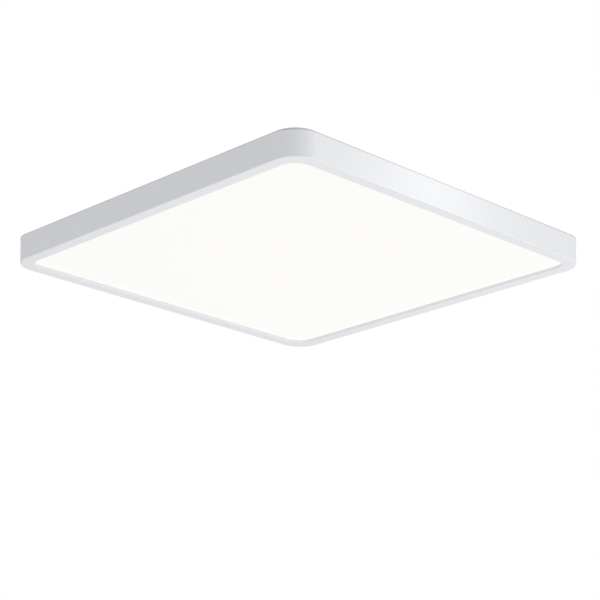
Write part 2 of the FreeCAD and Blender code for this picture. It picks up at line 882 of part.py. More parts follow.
def make_cable_bush():
    """Soft bush in the cable hole: a sleeve with a tapered flange below the web."""
    flange = cable_hole_radius + bush_flange
    low = -bracket_thickness - bush_wall
    sleeve = prism(bush_sides, cable_hole_radius - screw_slip, 0, 0, low, -slip)
    seat = -bracket_thickness - screw_slip
    collar = stacked(bush_sides, [(flange - bush_wall / 2, low), (flange, seat)], 0, 0)
    bore = stacked(bush_sides, [
        (cable_hole_radius - bush_wall / 2, low),
        (cable_hole_radius - bush_wall, -bracket_thickness),
        (cable_hole_radius - bush_wall, -slip),
    ], 0, 0)
    return fused([sleeve, collar]).cut(bore)


def make_bracket_earth_screw():
    """Screw from below into the web, for the house cable's earth wire."""
    screw = headed_pin(0, 0, 0, earth_screw_radius, earth_head_radius, earth_head, bracket_thickness)
    screw.rotate(V(0, 0, 0), ALONG_X, 180)
    screw.translate(V(bracket_earth_x, 0, -bracket_thickness))
    return screw


# Terminal box

def box_screw_places():
    return [(box_high_x - box_screw_inset, sy * (box_half_y - box_screw_inset)) for sy in (-1, 1)]


def hinge_axis():
    """X and z of the lid's hinge pins."""
    return box_high_x - hinge_radius, box_top + slip + lid_thickness / 2


def knuckle(low_y, high_y):
    """Eight-sided bar along Y round the hinge axis."""
    axis_x, axis_z = hinge_axis()
    barrel = turned(bar(head_sides, hinge_radius, low_y, high_y - low_y, 0, axis_z), 90)
    barrel.translate(V(axis_x, 0, 0))
    return barrel


def pin_bar(radius, reach):
    """Round bar on the hinge axis, as far each way along Y as the reach."""
    axis_x, axis_z = hinge_axis()
    return Part.makeCylinder(radius, 2 * reach, V(axis_x, -reach, axis_z), ALONG_Y)


def make_terminal_box():
    """Open moulded box with a cable entry, posts for the cable clamp, lead notches and hinge ears."""
    length = box_high_x - box_low_x
    centre = ((box_low_x + box_high_x) / 2, 0.0)
    axis_x, axis_z = hinge_axis()
    inside_z = recess_floor + box_floor
    shell = bevelled(length, 2 * box_half_y, box_bevel, recess_floor, box_top, centre)
    inner_y = box_half_y - box_wall
    shell = shell.cut(box(box_low_x + box_wall, box_high_x - box_wall, -inner_y, inner_y, inside_z, 0))
    ear_y = box_half_y - hinge_ear
    ears = [box(axis_x - hinge_radius, box_high_x, ear_y, box_half_y, inside_z, axis_z)]
    ears.append(knuckle(ear_y, box_half_y))
    side_y = block_half_y() + slip
    ears.append(box(block_start, block_start + block_length, side_y, side_y + box_wall, recess_floor, lead_z))
    ears.append(prism(head_sides, saddle_post_radius, saddle_x, saddle_screw_y, recess_floor, saddle_seat()))
    shell = fused([shell] + ears + [ear.mirror(V(0, 0, 0), ALONG_Y) for ear in ears])
    turning_room = hinge_radius + slip + pin_slip
    cuts = [box(axis_x - hinge_radius - slip, box_high_x, -ear_y, ear_y, axis_z - turning_room, 0)]
    cuts.append(pin_bar(hinge_pin_radius + pin_slip, box_half_y))
    entry_end = box_low_x + box_wall + past
    cuts.append(box(box_low_x - past, entry_end, -entry_half_y, entry_half_y, inside_z, 0))
    notch_reach = mains_radius + notch_gap
    for k in (-1, 0, 1):
        y = mains_y(k, box_high_x - box_wall / 2)
        cuts.append(box(box_high_x - box_wall - past, box_high_x + past, y - notch_reach, y + notch_reach,
                        lead_z - mains_radius - slip, 0))
    cuts += [screw_hole(x, y, recess_floor - past, 0) for x, y in box_screw_places()]
    post_hole = saddle_seat() - saddle_screw_grip
    cuts += [screw_hole(saddle_x, sy * saddle_screw_y, post_hole, 0) for sy in (-1, 1)]
    return shell.cut(Part.makeCompound(cuts))


def saddle_seat():
    """Height of the posts that the cable clamp is screwed to."""
    return lead_z - saddle_thickness


def block_half_y():
    return 1.5 * pole_pitch + block_end


def mains_y(k, x):
    """Y of a mains lead between the terminal block and the grommet."""
    bend = block_centre_x + block_length / 2 + lead_straight
    share = min(max((x - bend) / lead_cross, 0.0), 1.0)
    return k * (pole_pitch + (lead_spacing - pole_pitch) * share)


def make_terminal_lid():
    """Hinged lid: a plate with a finger tab, a knuckle and two pins."""
    axis_x, axis_z = hinge_axis()
    low = box_top + slip
    high = low + lid_thickness
    ear_y = box_half_y - hinge_ear - slip
    plate = box(box_low_x, axis_x - hinge_radius - slip, -box_half_y, box_half_y, low, high)
    tab = bevelled(2 * lid_tab, lid_tab_width, box_bevel, low, high, (box_low_x, 0.0))
    neck = box(axis_x - hinge_radius - slip - past, axis_x, -ear_y, ear_y, low, high)
    lid = fused([plate, tab, neck, knuckle(-ear_y, ear_y), pin_bar(hinge_pin_radius, box_half_y - slip)])
    grooves = []
    for i in range(ridge_count):
        x = box_low_x + ridge_start + i * ridge_pitch
        grooves.append(box(x, x + ridge_width, -ridge_length / 2, ridge_length / 2, high - ridge_depth, high))
    return lid.cut(Part.makeCompound(grooves))


def terminal_screw_places():
    columns = (block_centre_x - terminal_screw_reach, block_centre_x + terminal_screw_reach)
    return [(x, k * pole_pitch) for k in (-1, 0, 1) for x in columns]


def make_terminal_block():
    """Three-pole block: a base with a tower, a wire bore and two screw wells for each pole."""
    low = recess_floor + box_floor
    start = block_start
    half_tower = (pole_pitch - tower_gap) / 2
    step = lead_z - tower_step
    top = low + block_height
    points = [V(start, -block_half_y(), low), V(start, block_half_y(), low), V(start, block_half_y(), step)]
    for k in (1, 0, -1):
        y = k * pole_pitch
        points += [V(start, y + half_tower, step), V(start, y + half_tower, top - tower_bevel)]
        points += [V(start, y + half_tower - tower_bevel, top), V(start, y - half_tower + tower_bevel, top)]
        points += [V(start, y - half_tower, top - tower_bevel), V(start, y - half_tower, step)]
    points.append(V(start, -block_half_y(), step))
    block = section(points).extrude(ALONG_X * block_length)
    cuts = [bar(head_sides, pole_bore, start, block_length, k * pole_pitch, lead_z) for k in (-1, 0, 1)]
    cuts += [prism(shank_sides, terminal_screw_radius + well_slip, x, y, lead_z, 0)
             for x, y in terminal_screw_places()]
    return block.cut(Part.makeCompound(cuts))


def make_terminal_clamps():
    """Brass sleeve in each pole, bored for the wires and drilled for its two screws."""
    start = block_start
    poles = [k * pole_pitch for k in (-1, 0, 1)]
    sleeves = [bar(head_sides, pole_bore - screw_slip, start, block_length, y, lead_z) for y in poles]
    cuts = [bar(shank_sides, clamp_bore, start, block_length, y, lead_z) for y in poles]
    cuts += [screw_hole(x, y, lead_z, 0, terminal_screw_radius) for x, y in terminal_screw_places()]
    return Part.makeCompound(sleeves).cut(Part.makeCompound(cuts))


def make_terminal_screws():
    """Two clamping screws per pole, slotted, down in their wells."""
    screws = []
    top = lead_z + terminal_screw_top
    for x, y in terminal_screw_places():
        screw = prism(shank_sides, terminal_screw_radius, x, y, lead_z + clamp_bore, top)
        slot = box(x - driver_slot_width / 2, x + driver_slot_width / 2, y - terminal_screw_radius,
                   y + terminal_screw_radius, top - driver_slot_depth, top)
        screws.append(screw.cut(slot))
    return Part.makeCompound(screws)


def make_cable_clamp():
    """Saddle over the house cable: a strip with an arch between its two screws."""
    seat = saddle_seat()
    end = saddle_screw_y + saddle_post_radius
    crown = saddle_arch - saddle_slope
    lower_face = [
        V(0, -end, seat),
        V(0, -saddle_arch, seat),
        V(0, -crown, seat + saddle_rise),
        V(0, crown, seat + saddle_rise),
        V(0, saddle_arch, seat),
        V(0, end, seat),
    ]
    strip = bent_strip(lower_face, saddle_bend, saddle_thickness, V(-1, 0, 0))
    strip = strip.extrude(ALONG_X * saddle_width)
    strip.translate(V(saddle_x - saddle_width / 2, 0, 0))
    holes = [screw_hole(saddle_x, sy * saddle_screw_y, seat, seat + saddle_thickness) for sy in (-1, 1)]
    return strip.cut(Part.makeCompound(holes))


def make_clamp_screws():
    top = saddle_seat() + saddle_thickness
    head = min(screw_head, box_top - top - slip)
    return Part.makeCompound([
        headed_pin(saddle_x, sy * saddle_screw_y, top, screw_radius, screw_head_radius, head,
                   saddle_thickness + saddle_screw_grip)
        for sy in (-1, 1)
    ])


def make_box_screws():
    return Part.makeCompound([
        headed_pin(x, y, recess_floor + box_floor, screw_radius, screw_head_radius, screw_head,
                   box_floor + pan_thickness)
        for x, y in box_screw_places()
    ])


# Leads

def grommet_core(low_x, high_x, grow):
    """Oval bar along X through the recess wall, round the three mains leads."""
    width = 2 * (lead_spacing + mains_radius + slip + grow)
    height = 2 * (mains_radius + slip + grow)
    core = bevelled(height, width, height * grommet_cut, low_x, high_x)
    core.rotate(V(0, 0, 0), ALONG_Y, 90)
    core.translate(V(0, 0, lead_z))
    return core


def make_grommet():
    """Rubber grommet: an oval sleeve with a flange each side of the recess wall."""
    inner_face = recess_high_x
    outer_face = recess_high_x + pan_thickness
    sleeve = grommet_core(inner_face - grommet_flange, outer_face + grommet_flange, grommet_wall)
    flanges = [
        grommet_core(inner_face - grommet_flange, inner_face, grommet_wall + grommet_lip),
        grommet_core(outer_face, outer_face + grommet_flange, grommet_wall + grommet_lip),
    ]
    body = fused([sleeve] + flanges)
    reach = grommet_flange + past
    return body.cut(grommet_core(inner_face - reach, outer_face + reach, 0.0))


def mains_start(k):
    """Both ends of a mains lead's straight way out: from the terminal block through the grommet."""
    start = block_centre_x + block_length / 2
    first = V(start, k * pole_pitch, lead_z)
    last = V(recess_high_x + lead_exit, k * lead_spacing, lead_z)
    if k == 0:
        return [first, last]
    bend = start + lead_straight
    return [first, V(bend, k * pole_pitch, lead_z), V(bend + lead_cross, k * lead_spacing, lead_z), last]


def make_supply_lead(k, name):
    """Mains lead from the terminal block round the recess corner to the driver."""
    driver_end = driver_x + driver_length / 2
    wide = recess_high_x + 23 - k * lead_spacing
    high = driver_y - k * lead_spacing
    points = mains_start(k) + [
        V(wide - 5, 12 + k * 2, lead_z),
        V(wide + 1, 34, lead_z),
        V(wide - 1, 58, lead_z),
        V(wide - 10, 82 - k * 3, lead_z),
        V(wide - 31, high - 6, lead_z),
        V(driver_end + 44, high - 2, lead_z),
        V(driver_end + 20, high, lead_z),
        V(driver_end, high, lead_z),
    ]
    return tube(points, mains_radius, shank_sides, name)


def earth_place():
    """Where the earth screw goes into the inner plate."""
    return recess_high_x + earth_reach, earth_y


def make_earth_lead():
    """Earth lead from the terminal block to its lug on the inner plate."""
    x, y = earth_place()
    end_z = plate_top + lug_thickness + mains_radius
    points = mains_start(-1) + [
        V(recess_high_x + 20, -12, lead_z),
        V(x, -26, lead_z - 2),
        V(x, y + 20, end_z),
        V(x, y + lug_barrel_start + lug_barrel, end_z),
    ]
    return tube(points, mains_radius, shank_sides, "earth_lead")


def make_earth_lug():
    """Ring lug: a flat eye under the screw and a barrel at the lead's end."""
    x, y = earth_place()
    top = plate_top + lug_thickness
    eye = prism(head_sides, lug_eye, x, y, plate_top, top)
    neck = box(x - lug_neck / 2, x + lug_neck / 2, y, y + lug_neck_length, plate_top, top)
    radius = mains_radius + lug_barrel_wall
    barrel = turned(bar(head_sides, radius, lug_barrel_start, lug_barrel, 0, top + mains_radius), 90)
    barrel.translate(V(x, y, 0))
    return fused([eye, neck, barrel]).cut(screw_hole(x, y, plate_top, top, earth_screw_radius))


def make_earth_screw():
    x, y = earth_place()
    return headed_pin(x, y, plate_top + lug_thickness, earth_screw_radius, earth_head_radius, earth_head,
                      lug_thickness + plate_thickness)


def make_led_leads():
    """Pair of thin leads from the driver down to the solder pads of the left strip."""
    driver_end = driver_x - driver_length / 2
    start_z = led_leads_z
    down_x = -strip_face + wire_stand
    leads = []
    for k in (0, 1):
        y = driver_y + led_lead_offset + k * fine_spacing
        pad_y = half - strip_end - pad_inset + k * pad_spacing
        points = [
            V(driver_end, y, start_z),
            V(driver_end - 14, y, start_z),
            V(driver_end - 32, y + 8, start_z - 1),
            V(driver_end - 52, y + 24, start_z - 2),
            V(driver_end - 74, (y + pad_y) / 2 + 12, start_z - 3),
            V(down_x + 26, pad_y - 6, start_z - 3),
            V(down_x + 8, pad_y, start_z - 4),
            V(down_x, pad_y, plate_top),
            V(down_x, pad_y, pad_z),
            V(-strip_face, pad_y, pad_z),
        ]
        leads.append(tube(points, fine_radius, fine_sides, f"led_lead {k}"))
    return Part.makeCompound(leads)


def make_switch_leads():
    """Three thin leads from the colour switch to the driver."""
    driver_end = driver_x - driver_length / 2
    start_z = switch_top() - switch_height + switch_lead_rise
    leads = []
    for k in (-1, 0, 1):
        x = switch_x + k * fine_spacing
        y = switch_leads_y - k * fine_spacing
        points = [
            V(x, switch_y + switch_width / 2, start_z),
            V(x, switch_y + switch_width / 2 + 12, start_z),
            V(x - 2, switch_y + 34, start_z),
            V(x + 3, y - 12, start_z),
            V(driver_end - 12, y, start_z),
            V(driver_end, y, start_z),
        ]
        leads.append(tube(points, fine_radius, fine_sides, f"switch_lead {k}"))
    return Part.makeCompound(leads)


def make_strip_jumpers():
    """Wire pairs that join the strips round three corners: up from one strip's pads, over the corner of
    the inner plate, and down to the next strip's pads."""
    stand = strip_face - wire_stand
    wires = []
    for angle in (SIDES["front"], SIDES["right"], SIDES["left"]):
        for k in (0, 1):
            along = half - strip_end - pad_inset + k * pad_spacing
            high = plate_top + jumper_rise + k * jumper_step
            points = [
                V(along, -strip_face, pad_z),
                V(along, -stand, pad_z),
                V(along, -stand, high),
                V(stand, -along, high),
                V(stand, -along, pad_z),
                V(strip_face, -along, pad_z),
            ]
            wires.append(turned(tube(points, fine_radius, fine_sides, "jumper"), angle))
    return Part.makeCompound(wires)


# Colour switch

def switch_top():
    return pan_top - pocket_depth - pan_thickness


def switch_rivet_places():
    reach = switch_length / 2 + switch_ear / 2
    return [switch_x - reach, switch_x + reach]


def make_switch_body():
    """Slide switch under the pocket: a body with a cavity for the slider, two ears and three pins."""
    top = switch_top()
    low = top - switch_height
    centre = (switch_x, switch_y)
    body = bevelled(switch_length, switch_width, switch_bevel, low, top, centre)
    ears_length = switch_length + 2 * switch_ear
    ears = bevelled(ears_length, switch_width, switch_width / 4, top - switch_ear_thickness, top, centre)
    room = slider_length / 2 + switch_travel + slip
    cavity = box(switch_x - room, switch_x + room, switch_y - slider_width / 2 - slip,
                 switch_y + slider_width / 2 + slip, top - slider_thickness - 2 * slip, top)
    wide = switch_pin_width / 2
    long = switch_pin_length / 2
    foot = low - switch_pin_height
    pin = box(switch_x - wide, switch_x + wide, switch_y - long, switch_y + long, foot, low)
    pins = [pin.translated(V(k * fine_spacing, 0, 0)) for k in (-1, 0, 1)]
    holes = [screw_hole(x, switch_y, top - switch_ear_thickness, top) for x in switch_rivet_places()]
    return fused([body, ears] + pins).cut(Part.makeCompound([cavity] + holes))


def make_switch_slider():
    """Slider in its middle position: a sliding plate and a ridged knob that stands up through the window."""
    top = switch_top() - slip
    crown = top + pan_thickness + knob_height
    plate = box(switch_x - slider_length / 2, switch_x + slider_length / 2, switch_y - slider_width / 2,
                switch_y + slider_width / 2, top - slider_thickness, top)
    knob = box(switch_x - knob_length / 2, switch_x + knob_length / 2, switch_y - knob_width / 2,
               switch_y + knob_width / 2, top - slip, crown)
    grooves = []
    for k in (-1, 0, 1):
        low_x = switch_x + k * knob_groove_pitch - knob_groove / 2
        grooves.append(box(low_x, low_x + knob_groove, switch_y - knob_width, switch_y + knob_width,
                           crown - knob_groove, crown))
    return fused([plate, knob]).cut(Part.makeCompound(grooves))


def make_switch_rivets():
    return Part.makeCompound([
        headed_pin(x, switch_y, pan_top - pocket_depth, screw_radius, switch_rivet_head, rivet_head,
                   pan_thickness + switch_ear_thickness)
        for x in switch_rivet_places()
    ])


# Driver

def driver_top():
    return pan_under - driver_air


def board_top():
    return plate_top + driver_wall + board_post + board_thickness


def driver_screw_places():
    reach = driver_length / 2 + driver_ear / 2
    return [driver_x - reach, driver_x + reach]


def driver_block(inset, corner_cut, low, high):
    """Block with the driver's outline, smaller all round by the inset."""
    size_x = driver_length - 2 * inset
    size_y = driver_width - 2 * inset
    return bevelled(size_x, size_y, corner_cut, low, high, (driver_x, driver_y))


def make_driver_case():
    """Moulded tray with board posts, lead openings in its ends and screw ears."""
    floor = plate_top + driver_wall
    ear_top = plate_top + driver_ear_thickness
    case = driver_block(0, driver_corner, plate_top, driver_top() - driver_wall)
    ears_length = driver_length + 2 * driver_ear
    ears = bevelled(ears_length, driver_ear_width, driver_corner, plate_top, ear_top, (driver_x, driver_y))
    inside = driver_block(driver_wall, driver_corner - driver_wall, floor, 0)
    posts = []
    for sx, sy in CORNERS:
        x = driver_x + sx * (driver_length / 2 - board_post_inset_x)
        y = driver_y + sy * (driver_width / 2 - board_post_inset_y)
        posts.append(prism(shank_sides, board_post_radius, x, y, plate_top, floor + board_post))
    case = fused([case.fuse(ears).cut(inside)] + posts)
    cuts = [screw_hole(x, driver_y, plate_top, ear_top) for x in driver_screw_places()]
    reach = driver_length / 2
    for k in (0, 1):
        fine_y = driver_y + led_lead_offset + k * fine_spacing
        cuts.append(lead_hole(driver_x + reach, driver_y - k * lead_spacing, lead_z, mains_radius))
        cuts.append(lead_hole(driver_x - reach, fine_y, led_leads_z, fine_radius))
    return case.cut(Part.makeCompound(cuts))


def lead_hole(x, y, z, radius):
    """Hole for a lead's core in an end wall of the driver case, narrower than the lead's end face."""
    reach = driver_wall + past
    return bar(shank_sides, radius * core_share, x - reach, 2 * reach, y, z)


def make_driver_lid():
    """Lid with a rim inside the tray and rows of vent slots."""
    high = driver_top()
    low = high - driver_wall
    lid = driver_block(0, driver_corner, low, high)
    lid = lid.makeChamfer(driver_lid_bevel, edges_at(lid, high))
    inset = driver_wall + slip
    inner_corner = driver_corner - driver_wall
    rim = driver_block(inset, inner_corner, low - driver_lid_rim, low)
    rim = rim.cut(driver_block(inset + driver_lid_rim_wall, inner_corner, low - driver_lid_rim, low))
    vent = box(-vent_width / 2, vent_width / 2, -vent_length / 2, vent_length / 2, low, high)
    reach = driver_length / 2 - inset - driver_lid_rim_wall - vent_width
    vents = [vent.translated(V(driver_x + dx, driver_y + sy * vent_row, 0))
             for dx in spaced(vent_pitch, reach) for sy in (-1, 1)]
    return fused([lid, rim]).cut(Part.makeCompound(vents))


def make_driver_board():
    """Circuit board with cut corners."""
    return driver_block(driver_wall + board_gap, driver_corner, board_top() - board_thickness, board_top())


def part_room():
    """Height left for the components on the board."""
    return driver_top() - driver_wall - part_air - board_top()


def make_transformer():
    """Flat transformer: a core with a window each side of its middle limb, and a winding round the limb."""
    x = driver_x + transformer_x
    base = board_top()
    tall = part_room()
    room = core_length / 2 - core_yoke
    core = box(x - core_length / 2, x + core_length / 2, driver_y - core_width / 2, driver_y + core_width / 2,
               base, base + tall)
    limb = core_limb / 2
    core = core.cut(box(x - room, x + room, driver_y + limb, driver_y + core_width, base, base + tall))
    core = core.cut(box(x - room, x + room, driver_y - core_width, driver_y - limb, base, base + tall))
    winding = bevelled(2 * (room - slip), core_width - winding_margin, core_yoke, base + winding_margin,
                       base + tall - winding_margin, (x, driver_y))
    wrap = limb + slip
    winding = winding.cut(box(x - room, x + room, driver_y - wrap, driver_y + wrap, base, base + tall))
    return Part.makeCompound([core, *winding.Solids])


def make_capacitors():
    """Two lying electrolytic capacitors and a film capacitor."""
    base = board_top()
    top = base + part_room() * film_share
    film = bevelled(*film_size, film_bevel, base, top, on_board(film_place))
    cans = [lying_can(long_can_place, long_can_length), lying_can(short_can_place, short_can_length)]
    return Part.makeCompound(cans + [film])


def on_board(place):
    """Place on the driver's board, given from the middle of the driver."""
    return driver_x + place[0], driver_y + place[1]


def lying_can(place, length):
    """Can with a rolled groove near one end, one of its flat sides on the board."""
    radius = part_room() / 2
    flat = radius * math.cos(math.pi / can_sides)
    levels = [
        (radius - can_bevel, 0),
        (radius, can_bevel),
        (radius, can_groove - can_groove_width / 2),
        (radius - can_bevel, can_groove),
        (radius, can_groove + can_groove_width / 2),
        (radius, length),
    ]
    can = stacked(can_sides, levels, 0, 0)
    can.rotate(V(0, 0, 0), ALONG_Y, 90)
    can.translate(V(*on_board(place), board_top() + flat))
    return can


def make_inductor():
    """Drum-core choke standing on the board."""
    base = board_top()
    tall = part_room() * choke_share
    x, y = on_board(choke_place)
    flanges = [prism(can_sides, choke_radius, x, y, base + z, base + z + choke_flange)
               for z in (0, tall - choke_flange)]
    return fused([prism(can_sides, choke_waist, x, y, base, base + tall)] + flanges)


def make_rectifier():
    """Bridge rectifier and switching chip, two small moulded blocks."""
    blocks = []
    for place, (length, width, height) in ((bridge_place, bridge_size), (chip_place, chip_size)):
        base = board_top()
        blocks.append(bevelled(length, width, chip_bevel, base, base + height, on_board(place)))
    return Part.makeCompound(blocks)


def make_driver_screws():
    return Part.makeCompound([
        headed_pin(x, driver_y, plate_top + driver_ear_thickness, screw_radius, screw_head_radius, screw_head,
                   driver_ear_thickness + plate_thickness)
        for x in driver_screw_places()
    ])


def all_parts():
    parts = {
        "frame": make_frame(),
        "diffuser": stack_sheet(0.0, diffuser_z, diffuser_thickness),
        "light_guide": stack_sheet(0.0, guide_z, guide_thickness),
        "reflector_sheet": stack_sheet(0.5, reflector_z, reflector_thickness),
        "foam_sheet": stack_sheet(2.0, foam_z, foam_thickness),
        "inner_plate": make_inner_plate(),
        "rail_screws": make_rail_screws(),
        "strip_jumpers": make_strip_jumpers(),
        "back_pan": make_back_pan(),
        "pan_standoffs": make_standoffs(),
        "pan_screws": make_pan_screws(),
        "clip_rivets": make_rivets(),
        "ceiling_bracket": make_bracket(),
        "cable_bush": make_cable_bush(),
        "bracket_earth_screw": make_bracket_earth_screw(),
        "terminal_box": make_terminal_box(),
        "terminal_lid": make_terminal_lid(),
        "terminal_block": make_terminal_block(),
        "terminal_clamps": make_terminal_clamps(),
        "terminal_screws": make_terminal_screws(),
        "cable_clamp": make_cable_clamp(),
        "clamp_screws": make_clamp_screws(),
        "box_screws": make_box_screws(),
        "lead_grommet": make_grommet(),
        "live_lead": make_supply_lead(1, "live_lead"),
        "neutral_lead": make_supply_lead(0, "neutral_lead"),
        "earth_lead": make_earth_lead(),
        "earth_lug": make_earth_lug(),
        "earth_screw": make_earth_screw(),
        "led_leads": make_led_leads(),
        "switch_leads": make_switch_leads(),
        "colour_switch_body": make_switch_body(),
        "colour_switch_slider": make_switch_slider(),
        "switch_rivets": make_switch_rivets(),
        "driver_case": make_driver_case(),
        "driver_lid": make_driver_lid(),
        "driver_board": make_driver_board(),
        "driver_transformer": make_transformer(),
        "driver_capacitors": make_capacitors(),
        "driver_inductor": make_inductor(),
        "driver_rectifier": make_rectifier(),
        "driver_screws": make_driver_screws(),
    }
    for name, angle in SIDES.items():
        parts[f"led_rail_{name}"] = turned(make_rail(), angle)
        parts[f"led_strip_{name}"] = turned(make_strip(), angle)
        parts[f"leds_{name}"] = turned(make_leds(), angle)
    for name, (x, sign) in clip_places().items():
        parts[f"spring_clip_{name}"] = make_clip(x, sign)
    return parts


os.makedirs("parts", exist_ok=True)
for node, shape in all_parts().items():
    shape.exportStep(f"parts/{node}.step")
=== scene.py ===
import json
from math import atan2, cos, hypot, pi, radians, sin, sqrt, tan

import bmesh
import bpy
from mathutils import Euler, Matrix, Vector


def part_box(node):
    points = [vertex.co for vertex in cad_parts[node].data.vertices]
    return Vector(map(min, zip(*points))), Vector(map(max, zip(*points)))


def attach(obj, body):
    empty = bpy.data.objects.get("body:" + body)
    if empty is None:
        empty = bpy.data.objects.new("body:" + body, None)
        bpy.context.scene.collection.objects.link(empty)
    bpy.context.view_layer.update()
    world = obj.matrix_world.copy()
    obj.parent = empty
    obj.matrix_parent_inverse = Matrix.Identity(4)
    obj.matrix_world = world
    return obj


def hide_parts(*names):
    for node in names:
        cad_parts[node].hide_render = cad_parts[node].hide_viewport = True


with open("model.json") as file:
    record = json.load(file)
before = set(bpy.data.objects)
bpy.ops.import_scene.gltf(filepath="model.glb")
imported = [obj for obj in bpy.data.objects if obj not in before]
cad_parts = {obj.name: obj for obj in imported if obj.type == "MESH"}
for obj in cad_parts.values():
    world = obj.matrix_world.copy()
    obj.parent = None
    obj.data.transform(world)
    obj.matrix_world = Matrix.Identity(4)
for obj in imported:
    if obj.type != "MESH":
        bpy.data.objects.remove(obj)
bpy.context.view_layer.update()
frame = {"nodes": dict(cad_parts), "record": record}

# Square flush mount ceiling light, seen from below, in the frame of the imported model: the ceiling is z = 0 and
# the lamp hangs under it. Lengths are in millimetres, and each piece is scaled to metres when it is linked.
MM = 0.001


def span(node):
    """Lowest and highest corner of a node."""
    return tuple(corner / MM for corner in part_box(node))


def middle(low, high):
    return (low.x + high.x) / 2, (low.y + high.y) / 2


def arc(start, end, steps):
    """Angles from start to end, given in degrees, as radians."""
    return [radians(start + (end - start) * i / steps) for i in range(steps + 1)]


ADD, CUT, KEEP = "UNION", "DIFFERENCE", "INTERSECT"
BOTH = (-1, 1)
TURNS = arc(0, 270, 3)
SIDES = ("front", "right", "back", "left")
ALONG_X = Matrix.Rotation(pi / 2, 3, "Y")
ALONG_Y = Matrix.Rotation(-pi / 2, 3, "X")
BODY_OF = {node: body for body, nodes in frame["record"]["behaviour"]["bodies"].items() for node in nodes}
SLOT_OF = {part["node"]: part["material_slot"] for part in frame["record"]["subparts"]}

# Camera in metres, solved from the photograph's edges
CAMERA_PLACE = Vector((1.2407, -1.2159, -0.6462))
CAMERA_PITCH = 0.3239
CAMERA_TURN = radians(45) + 0.0088
CAMERA_ROLL = 0.0045
CAMERA_FOCAL_PIXELS = 1888.4
PHOTO_WIDTH = 600
SENSOR_WIDTH = 36

# Frame moulding
SIDE = span("frame")[1].x * 2
RIM_Z = span("frame")[0].z
FRAME_TOP = -2
DIFFUSER_Z = span("diffuser")[0].z
CORNER_RADIUS = 26
WALL = 2.2
WALL_LEAN = 0.9
LOWER_EDGE = 0.8
TOP_EDGE = 0.25
RIM_WIDTH = 13.4
OPENING_RADIUS = 16.7
OPENING_EDGE = 0.5
CORNER_STEPS = 24
EDGE_STEPS = 4
SLIP = 0.1
CATCH_PITCH = 110
CATCH_WIDTH = 12
CATCH_CLEAR = 45           # least distance from a catch's middle to the frame's corner
RIB_PITCH = 36
RIB_THICKNESS = 1.4
RIB_DEPTH = 2.4
RIB_HEIGHT = 10
BOSS_RADIUS = 2.6

# Back pan
PAN_TOP = span("back_pan")[1].z
PAN_FLOOR = span("ceiling_bracket")[0].z - 4
PAN_SHEET = 0.6
PAN_INSET = 1
PAN_CORNER = 22
PAN_BEND = 0.6
RECESS_LOW_X, RECESS_HIGH_X, RECESS_HALF_Y = -75, 125, 50
BEAD_LENGTH = 240
BEAD_WIDTH = 6.6
BEAD_DEPTH = 0.8
BEAD_INSET = 50
DIMPLE_RADIUS = 3.4
DIMPLE_DEPTH = 1.9

# Bracket and spring clips
BRACKET_SHEET = 1.2
BRACKET_BEND = 1.2
LIP_WIDTH = 4
LIP_CORNER = 3
SLOT_SPACING = 78
SLOT_LENGTH = 20
SLOT_WIDTH = 5
CABLE_HOLE = 12
BUSH_WALL = 1.5
BUSH_FLANGE = 2.5
WINDOW_LENGTH = 26
WINDOW_HEIGHT = 3.4
CLIP_PITCH = 84
CLIP_SHEET = 0.5
CLIP_BEND = 0.9
CLIP_STANDOFF = 1.9
CLIP_BITE = 1.4
CLIP_FLARE = 3.4
CLIP_SLOPE = 0.75
SPRING_GAP = 0.3

# Fasteners: shank radius, head radius and head height
SMALL_SCREW = (1.25, 2.7, 1.6)
EARTH_SCREW = (2, 3.8, 2.4)
CLIP_RIVET = (1.6, 2.9, 0.8)
SWITCH_RIVET = (1.25, 2.1, 0.8)
SCREW_BORE = SMALL_SCREW[0] + 0.05
THREAD_PITCH = 0.8
GOLDEN_TURN = 2.4            # radians from one screw's recess to the next one's

# Leads
MAINS_RADIUS = 1.1
FINE_RADIUS = 0.6
MAINS_SPACING = 4.5
FINE_SPACING = 3
POLE_PITCH = 8
PAD_SPACING = 2.2
PLATE_TOP = span("inner_plate")[1].z
LEAD_Z = (span("lead_grommet")[0].z + span("lead_grommet")[1].z) / 2
SWITCH_LEAD_Z = -8.9
STRIP_PAD = 192.5            # distance of the strips' pads from the lamp's axis
STRIP_LEAD = 190.3           # and of the leads that stand in front of them
STRIP_PAD_Y = 178
STRIP_PAD_Z = -20.3
JUMPER_TURNS = (TURNS[0], TURNS[1], TURNS[3])

# Terminal box
HINGE_PLACE = next(joint["pos_m"] for joint in frame["record"]["behaviour"]["joints"] if joint["name"] == "lid_hinge")
HINGE_X, HINGE_Z = HINGE_PLACE[0] / MM, HINGE_PLACE[2] / MM
HINGE_RADIUS = 1.7
HINGE_PIN = 0.9
HINGE_EAR = 3
LID_THICKNESS = 1.4
BOX_TOP = HINGE_Z - LID_THICKNESS / 2 - SLIP
BOX_WALL = 1.5
BOX_CORNER = 2
BOX_SCREW_INSET = 6
ENTRY_HALF = 6.5
BLOCK_TOWER = 3.3
POLES = (-POLE_PITCH, 0, POLE_PITCH)
SLEEVE_BORE = 0.95
CLAMP_SCREW = 1.5
CLAMP_SCREW_REACH = 3.2
CLAMP_SCREW_TOP = 3.2
SADDLE_X = 86.5
SADDLE_SCREW_Y = 12.5
SADDLE_SCREWS = [(SADDLE_X, side * SADDLE_SCREW_Y) for side in BOTH]
SADDLE_THICKNESS = 1.6
SADDLE_POST = 3.2
SADDLE_SEAT = LEAD_Z - SADDLE_THICKNESS

